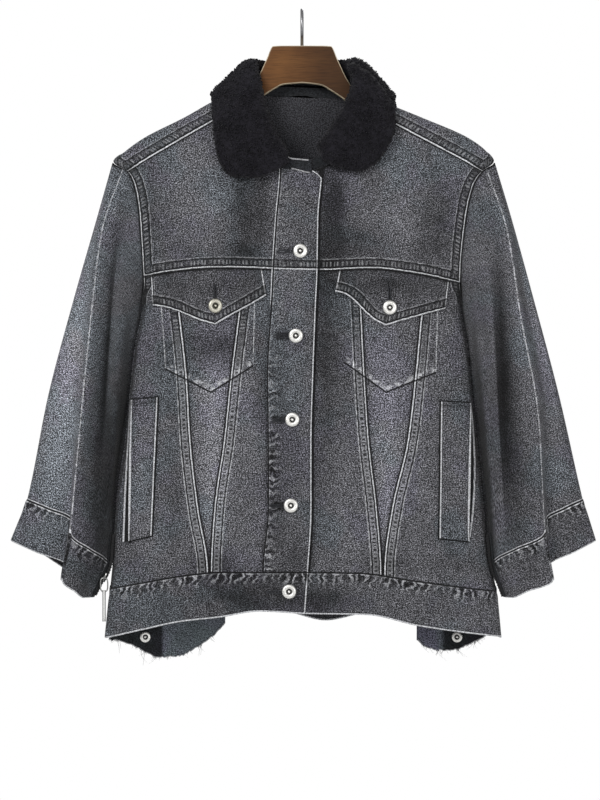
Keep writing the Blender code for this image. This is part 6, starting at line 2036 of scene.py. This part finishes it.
def add_slider():
    """The left zip's slider, a waisted plate with rounded edges, its bail, and its pull: a squared ring
    through the bail and a folded strip of tape round the ring."""
    middle, across, along, outward = slider_frame()
    turn = turns(32)
    at, half, thick = (SLIDER[name][:, None, None] for name in ("along", "half", "thick"))
    wide, tall = squared(np.sin(turn), 0.5)[:, None], squared(np.cos(turn), 0.5)[:, None]
    sections = middle + along * at + across * (wide * half) + outward * (tall * thick)
    add_loft("slider_body", sections, "shaded zip steel", "jacket", "zip_slider")
    front = across if across[1] < 0 else -across
    beside, below, above = BAIL_PLACE
    hinge = middle + front * (SLIDER_WIDTH / 2 + beside) + along * below + outward * above
    circle = np.stack([np.zeros(32), np.cos(turn) * BAIL_RADIUS, np.sin(turn) * BAIL_RADIUS], axis=1)
    bail = tube_sections(hinge + circle, BAIL_WIRE, 12, closed=True)
    add_loft("slider_bail", bail, "shaded zip steel", "jacket", ring=True)

    width, height = PULL_RING
    turn = turns(64)
    x, up = squared(np.sin(turn), 2 / 3) * width, squared(np.cos(turn), 2 / 3) * height - height
    sections = tube_sections(hinge + np.stack([x, np.zeros(64), up], axis=1), PULL_WIRE, 12, closed=True)
    add_loft("pull_ring_wire", sections, "shaded zip steel", "zip_pull", "zip_pull_ring", ring=True)

    # The strip goes up one side, round the ring's foot and down the other side, to its sewn end
    one_side = np.stack([STRIP["away"], STRIP["up"]], axis=1)
    outline = np.concatenate([one_side, (one_side * [-1, 1])[::-1][1:]])
    slope = np.gradient(outline, axis=0)
    normal = unit(np.stack([slope[:, 1], -slope[:, 0]], axis=1)) * STRIP_PLY
    grow = np.concatenate([STRIP_COLUMNS["grow"], -STRIP_COLUMNS["grow"][::-1]])
    skin = outline[:, None] + grow[:, None] * normal[:, None]
    x, edge = (
        np.broadcast_to(np.concatenate([column, column[::-1]]), skin.shape[:2])
        for column in (STRIP_COLUMNS["x"], STRIP_COLUMNS["edge"])
    )
    sections = hinge + np.stack([x, skin[..., 0], skin[..., 1] - 2 * height], axis=-1)
    add_loft("pull_strip", sections, "strip", "zip_pull", "zip_pull_tab", values={"edge": edge})


# ---------------------------------------------------------------- collar


def neck_line(x, side):
    """Points of the neckline at x, on the front where side is negative and on the back where it isn't."""
    on_front = side < 0
    drop = np.where(on_front, np.maximum(neckline(x), crest(x)), back_neckline(x))
    plan = np.stack([x, drop], axis=1)
    return np.where(on_front[:, None], sheet("front", plan), sheet("back", plan))


def collar_rows(start, end, count):
    """The collar's table at even steps, with the directions up the stand and out of it."""
    at = np.linspace(start, end, count)
    knots = np.arange(len(COLLAR["thick"]), dtype=float)
    row = {name: smooth(at, knots, values) for name, values in COLLAR.items()}
    row["neck"] = neck_line(row["neck_x"], row["side"])
    for name in ("roll", "edge"):
        row[name] = np.stack([row[name + "_x"], row[name + "_y"], -row[name + "_drop"]], axis=1)
    row["up"] = unit(row["roll"] - row["neck"])
    row["out"] = unit(np.cross(row["up"], np.gradient(row["neck"], axis=0)))
    return row


def pad_surface(count, stops):
    """The pile collar's middle sheet and its half thickness as vectors: up from the stand, over the roll
    and down to the free edge. The thickness is rounded off like a circle toward the edge and the ends."""
    row = collar_rows(*COLLAR_ENDS, count)
    neck, roll, up, out = row["neck"], row["roll"], row["up"], row["out"]
    height = np.linalg.norm(roll - neck, axis=1, keepdims=True)
    bend = (row["thick"] + ROLL_GAP)[:, None]
    shoulder = neck + up * np.maximum(height - bend, COLLAR_FOOT + 0.7)
    outside = shoulder + out * bend * 2.2
    fall = mix(outside, row["edge"], 0.5) + out * row["bow"][:, None]
    lines = [neck + up * COLLAR_FOOT, shoulder, roll + out * bend * 1.1, outside, fall, row["edge"]]
    middle = smooth(stops, PAD_STOPS, np.stack(lines)).transpose(1, 0, 2)
    outward = unit(np.cross(np.gradient(middle, axis=0), np.gradient(middle, axis=1)))
    outward[:, 0] = -out
    along = walk(middle, 0)
    ends = np.minimum(along, along[-1:] - along)
    across = walk(middle, 1)
    edge = across[:, -1:] - across
    taper = np.sqrt(1 - (1 - np.clip(edge / 5, 0, 1)) ** 2) * mix(0.75, 1.0, step_up(across, 0, 6))
    taper = taper * np.sqrt(1 - (1 - np.clip(ends / 6, 0.02, 1)) ** 2)
    return middle, outward * (row["thick"][:, None] * taper)[..., None]


def add_collar():
    """The pile collar: a soft pad with lumpy sides, covered with short bent tufts."""
    stops = np.linspace(0, 1, 46)
    middle, half = pad_surface(190, stops)
    sections = np.concatenate([middle + half, (middle - half)[:, ::-1]], axis=1)
    outward = unit(np.concatenate([half, -half[:, ::-1]], axis=1))
    rough = 0.45 * lumps(sections, 11, 31) + 0.25 * lumps(sections, 4.2, 32) - 0.5
    obj = add_loft("collar_pad", sections + outward * rough[..., None], "pile", "jacket", "collar")
    cloth_size = walk(middle, 1).max(), walk(middle, 0).max()
    add_tufts(sections, outward)


def add_tufts(sections, outward):
    """Tufts at random places on the pad: three-sided spikes of two lengths, the second bent away."""
    numbers = np.random.default_rng(17)
    cell = cell_areas(sections)
    picked = numbers.choice(cell.size, TUFTS, p=cell.ravel() / cell.sum())
    row, column = np.divmod(picked, cell.shape[1])
    u, v = numbers.random((2, TUFTS, 1))
    corner = sections[row, column]
    root = corner + u * (sections[row + 1, column] - corner) + v * (sections[row, column + 1] - corner)
    normal = outward[row, column]
    lean = numbers.normal(0, 0.5, (TUFTS, 3)) + np.array([0, 0, -0.35])
    first = unit(normal + lean * 0.65)
    second = unit(first + numbers.normal(0, 0.8, (TUFTS, 3)) + np.array([0, 0, -0.3]))
    width, length = TUFT_SIZE
    size = numbers.uniform(0.6, 1.25, (TUFTS, 1))
    side = unit(np.cross(first, numbers.normal(0, 1, (TUFTS, 3))))
    other = np.cross(first, side)
    turn = turns(3)[:, None]
    ring = side[:, None] * np.cos(turn) + other[:, None] * np.sin(turn)
    knee = root + first * size * length * 0.5
    tip = knee + second * size * length * 0.4
    low = (root - normal * 0.6)[:, None] + ring * width * size[:, None]
    high = knee[:, None] + ring * width * 0.72 * size[:, None]
    points = np.concatenate([low, high, tip[:, None]], axis=1)
    base = 7 * np.arange(TUFTS)[:, None, None]
    sides = [(0, 1, 4), (0, 4, 3), (1, 2, 5), (1, 5, 4), (2, 0, 3), (2, 3, 5)]
    faces = (np.array(sides + [(3, 4, 6), (4, 5, 6), (5, 3, 6)])[None] + base).reshape(-1, 3)
    mesh = make_mesh("collar_tufts", points.reshape(-1, 3), faces)
    return add_piece("collar_tufts", mesh, "pile", "jacket")


def add_stand():
    """The collar stand, a band that stands on the neckline and overlaps it on the outside. Its foot is
    moved out of the panels along their own normals, except over the ridges, where they turn."""
    row = collar_rows(0, len(COLLAR["thick"]) - 1, 200)
    neck, up, out = row["neck"], row["up"], row["out"]
    plan = np.stack([neck[:, 0], -neck[:, 2]], axis=1)
    foot_plan = plan + unit(plan - NECK_MIDDLE) * row["foot"][:, None]
    foot_plan[:, 1] = np.maximum(foot_plan[:, 1], crest(foot_plan[:, 0]))
    on_front = (neck[:, 1] < 0)[:, None]
    foot = np.where(on_front, sheet("front", foot_plan), sheet("back", foot_plan))
    panel_out = np.where(on_front, sheet_normals("front", foot_plan), sheet_normals("back", foot_plan))
    off_ridge = step_up(np.abs(neck[:, 1:2]), *RIDGE_BLEND)
    foot_out = unit(mix(out, panel_out, off_ridge))
    lift = row["lift"][:, None]
    middle_out = unit(out + foot_out)
    lines = np.stack([
        neck + up * STAND_HEIGHT + out * lift * 0.5,
        neck + up * STAND_BEND + middle_out * lift * 0.85,
        foot + foot_out * lift,
    ])
    stops = np.array([0.0, 0.48, 1.0])
    share = np.concatenate([[0, 0.015, 0.05, 0.1], np.linspace(0.17, 0.86, 10), [0.92, 0.96, 0.985, 1.0]])
    grid = smooth(share, stops, lines)
    outward = unit(smooth(share, stops, np.stack([out, middle_out, foot_out])))
    marks = edge_marks(grid, {"bottom": "rim", "top": "rim", "left": "rim"})
    at = np.broadcast_to(np.arange(grid.shape[1]), grid.shape[:2])
    marks["rim"] = marks["rim"] + FAR * (step_up(at, 22, 26) + (at < 1.5))
    # Painted shade: the stand is darkened nearly black, for the shade in the throat under the collar
    marks["fade"] = np.full(grid.shape[:2], -0.42)
    wall("collar_stand", grid + outward * STAND, grid, marks, "dark denim", flip=True)


# ---------------------------------------------------------------- buttons and buttonholes


def place_on(side, x, drop, lift):
    """The point lifted off a sheet at (x, drop), and the direction out of the sheet there."""
    plan = np.array([[x, drop]], dtype=float)
    outward = sheet_normals(side, plan)
    return (sheet(side, plan) + outward * (lift + small_relief(side, plan)[:, None]))[0], outward[0]


def front_ground(x, drop):
    """How far what a front button is sewn to stands off the front's inner face: the placket or, for the
    last one, the hem band."""
    return over_band(x) + FOLDED if drop > seam_drop(HEM_SEAM, x) else ON_PLACKET


def add_buttons():
    """The tack buttons, each tilted a little its own way. The flap on the left turns its own to the side,
    and its nickel is darker and yellower: partly a yellower metal, partly painted shade."""
    for number, (x, drop) in enumerate(rows_of(FRONT_BUTTONS), 1):
        gap = 0.4 if number == len(FRONT_BUTTONS["x"]) else 0.3
        place, outward = place_on("front", x, drop, front_ground(x, drop) + gap)
        tilted = unit(outward + np.array([0.03 * math.sin(number * 2.1), 0, 0.04 * math.cos(number * 1.7)]))
        add_cap(f"front_button_{number}", BUTTON, place, tilted)
    for side, (x, drop) in FLAP_BUTTONS.items():
        place, outward = place_on("front", x, drop, sum(FLAP_LIFT) * 0.95 + DENIM + 0.9)
        lean, finish = (0.34, "dull shaded button") if side == "left" else (0.08, "button")
        add_cap(f"flap_button_{side}", BUTTON, place, unit(outward + np.array([lean, 0, 0.02])), finish)


def add_studs():
    """The press studs, on the side of the tails that faces into the jacket."""
    for side, (x, drop) in STUDS.items():
        place, outward = place_on("back", x, drop, -BEHIND - DENIM - 0.5)
        add_cap(f"press_stud_{side}", PRESS_STUD, place, -outward)


def add_buttonholes():
    """The buttonholes, beside each front button on the placket and upright above each flap button. Each
    is a ring of stitches round a slot: a tube on a stadium, whose radius beats."""
    off, half = BUTTONHOLES["front"]
    spots = [(x - off, drop + 0.5, front_ground(x, drop), half, False) for x, drop in rows_of(FRONT_BUTTONS)]
    off, half = BUTTONHOLES["flap"]
    lift = sum(FLAP_LIFT) * 0.85 + DENIM + 0.3
    spots += [(x, drop - off, lift, half, True) for x, drop in FLAP_BUTTONS.values()]
    turn = turns(96)
    for number, (x, drop, lift, half, upright) in enumerate(spots, 1):
        place, outward = place_on("front", x, drop, lift)
        across, up, outward = basis(outward)
        along, beside = (up, across) if upright else (across, up)
        reach = np.clip(np.cos(turn) * (half + 2.2), -half, half) + np.cos(turn) * 1.1
        width = squared(np.sin(turn), 0.55) * 1.25
        path = place + outward * 0.05 + along * reach[:, None] + beside * width[:, None]
        sections = tube_sections(path, 0.62 + 0.14 * np.sin(turn * 42), 8, closed=True)
        add_loft(f"buttonhole_{number}", sections, "thread", "jacket", ring=True)


# ---------------------------------------------------------------- hanger


def wood_edges(away):
    """Drops of the wood's top and bottom edges: the crown, then the arms under the shoulders."""
    top, bottom = [smooth(away, CROWN["x"], CROWN[name]) for name in ("top", "bottom")]
    share = np.clip((away - CROWN["x"][-1]) / CROWN_TO_ARM, 0, 1)
    arm_top = np.maximum(crest(away), crest(-away)) + WOOD_CLEAR
    return mix(top, arm_top, share), mix(bottom, arm_top + ARM_DEPTH, share)


def add_wood():
    """The hanger's wood: sections from end to end, squared with rounded corners in the crown and oval in
    the arms, with its top and bottom edges marked for the painted highlight."""
    half_stops = np.concatenate([
        np.linspace(0, 30, 13), [32, 33, 33.6, 34, 34.3, 34.8, 35.6, 36.6], np.linspace(38, 62, 19),
        np.linspace(65, WOOD_END - 6, 36), [WOOD_END - 3.5, WOOD_END - 1.8, WOOD_END - 0.7, WOOD_END],
    ])
    x = np.concatenate([-half_stops[:0:-1], half_stops])
    top, bottom = wood_edges(np.abs(x))
    bottom = bottom + 1.4 * step_up(x, 0, 50) * (np.abs(x) < 62)
    rounded = np.sqrt(1 - np.clip((np.abs(x) - WOOD_END + 6) / 6, 0, 0.99) ** 2)
    middle, reach = (top + bottom) / 2, (bottom - top) / 2 * mix(0.3, 1, rounded)
    power = mix(0.16, 1.0, np.clip((np.abs(x) - ARM_START) / ARM_BLEND, 0, 1))[:, None]
    turn = (turns(96) + 0.03)[None]
    across = squared(np.sin(turn), power) * WOOD_HALF * rounded[:, None]
    up = squared(np.cos(turn), power) * reach[:, None]
    sections = np.stack([np.broadcast_to(x[:, None], up.shape), across, up - middle[:, None]], axis=-1)
    # How near each point is to the top and bottom edges, where the painted highlight lies, fuller toward the
    # front and back faces
    from_top, from_bottom = [
        (reach[:, None] - sign * up) / np.sqrt(1 + np.gradient(line, x)[:, None] ** 2)
        for line, sign in ((top, 1), (bottom, -1))
    ]
    near = np.minimum(from_top, from_bottom)
    edge = (1 - step_up(near, 0.5, 1.2)) * np.where(np.abs(across) > WOOD_HALF * 0.5, 1, 0.4)
    add_loft("hanger_body", sections, "wood", "jacket", "hanger_wood", values={"edge": edge})


def add_hook():
    """The wire hook, edge on to the front: a stem, a curl back and an open ring above it."""
    radius = HOOK_INNER + HOOK_WIRE / 2
    turns = np.radians(np.linspace(HOOK_START, HOOK_TAIL, 90))
    ring = np.stack([np.zeros(90), radius * np.cos(turns), radius * np.sin(turns) - HOOK_INNER], axis=1)
    knots = [(0, 0, -WOOD_TOP - HOOK_DEPTH), (0, 0, -WOOD_TOP + 0.5)]
    knots += [(0, ring[0][1] * back, mix(-WOOD_TOP, ring[0][2], up)) for back, up in HOOK_BEND]
    knots = np.concatenate([np.array(knots), ring[:3]])
    place = np.concatenate([[0], np.cumsum(np.linalg.norm(np.diff(knots, axis=0), axis=1))])
    stem = smooth(np.linspace(0, place[4], 30), place, knots)
    path = np.concatenate([stem[:-1], ring])
    size = np.full(len(path), HOOK_WIRE / 2)
    size[-3:] *= [0.92, 0.75, 0.4]
    add_loft("hook_wire", tube_sections(path, size, 20), "wire", "jacket", "hanger_hook")


# ---------------------------------------------------------------- the whole

add_front()
add_flaps()
add_pockets()
add_welts()
add_back()
add_tails()
add_back_yoke()
add_sleeves()
add_zips()
add_slider()
add_collar()
add_stand()
add_buttons()
add_studs()
add_buttonholes()
add_wood()
add_hook()


# ---------------------------------------------------------------- floor, lights and camera


def add_floor():
    """A pale disc well below the jacket."""
    turn = turns(96)
    radii = np.array([0.0, 1500, 3000, 4500])
    points = np.stack([
        radii[:, None] * np.cos(turn), radii[:, None] * np.sin(turn), np.full((4, 96), -1500.0)
    ], axis=-1)
    mesh = make_mesh("floor", points.reshape(-1, 3), grid_quads(4, 96, True))
    made, n, shader = new_material("pale_floor", 0.9)
    place = n.add("TexCoord", {}, out=3)
    n.put(shader["Base Color"], n.blend(n.noise(place, 3.0), (0.78, 0.78, 0.78, 1), (0.84, 0.84, 0.84, 1)))
    mesh.materials.append(made)
    obj = bpy.data.objects.new("floor", recalculated(mesh, 0.01))
    bpy.context.scene.collection.objects.link(obj)


def add_light(name, place, target, size, power):
    """A soft round lamp that faces its target."""
    lamp = bpy.data.lights.new(name, "AREA")
    lamp.shape = "DISK"
    lamp.size = size
    lamp.energy = power
    obj = bpy.data.objects.new(name, lamp)
    obj.location = place
    obj.rotation_euler = (Vector(target) - Vector(place)).to_track_quat("-Z", "Y").to_euler()
    bpy.context.scene.collection.objects.link(obj)


def add_world():
    """A white studio, which lights the jacket less than it shows."""
    world = bpy.data.worlds.new("studio")
    world.use_nodes = True
    n = Nodes(world.node_tree)
    background = world.node_tree.nodes["Background"]
    seen = n.add("LightPath", {})
    n.put(background.inputs["Color"], (1.0, 1.0, 1.0, 1.0))
    n.put(background.inputs["Strength"], n.ramp(seen, 0.0, 1.0, 0.42, 1.0))
    bpy.context.scene.world = world


VIEW_HEIGHT = 0.936
VIEW_PLANE = -0.025  # y of the jacket's face, where the view is so high
EYE = Vector((-0.00234, -4.525, -0.4569))


def add_camera():
    """A level camera straight before the jacket, whose longer side takes in the view's height."""
    lens = bpy.data.cameras.new("camera")
    lens.lens = lens.sensor_width * (VIEW_PLANE - EYE.y) / VIEW_HEIGHT
    lens.clip_end = 50
    obj = bpy.data.objects.new("camera", lens)
    obj.location = EYE
    obj.rotation_euler = (math.radians(90), 0, 0)
    bpy.context.scene.collection.objects.link(obj)
    bpy.context.scene.camera = obj


add_floor()
add_world()
add_light("key", (-1.5, -2.6, 1.1), (0, 0, -0.4), 1.6, 62)
add_light("fill", (1.9, -2.4, -0.1), (0, 0, -0.4), 1.8, 22)
add_light("rim", (0.6, 2.2, 1.0), (0, 0, -0.3), 1.4, 20)
add_camera()
bpy.context.scene.view_settings.view_transform = "Standard"
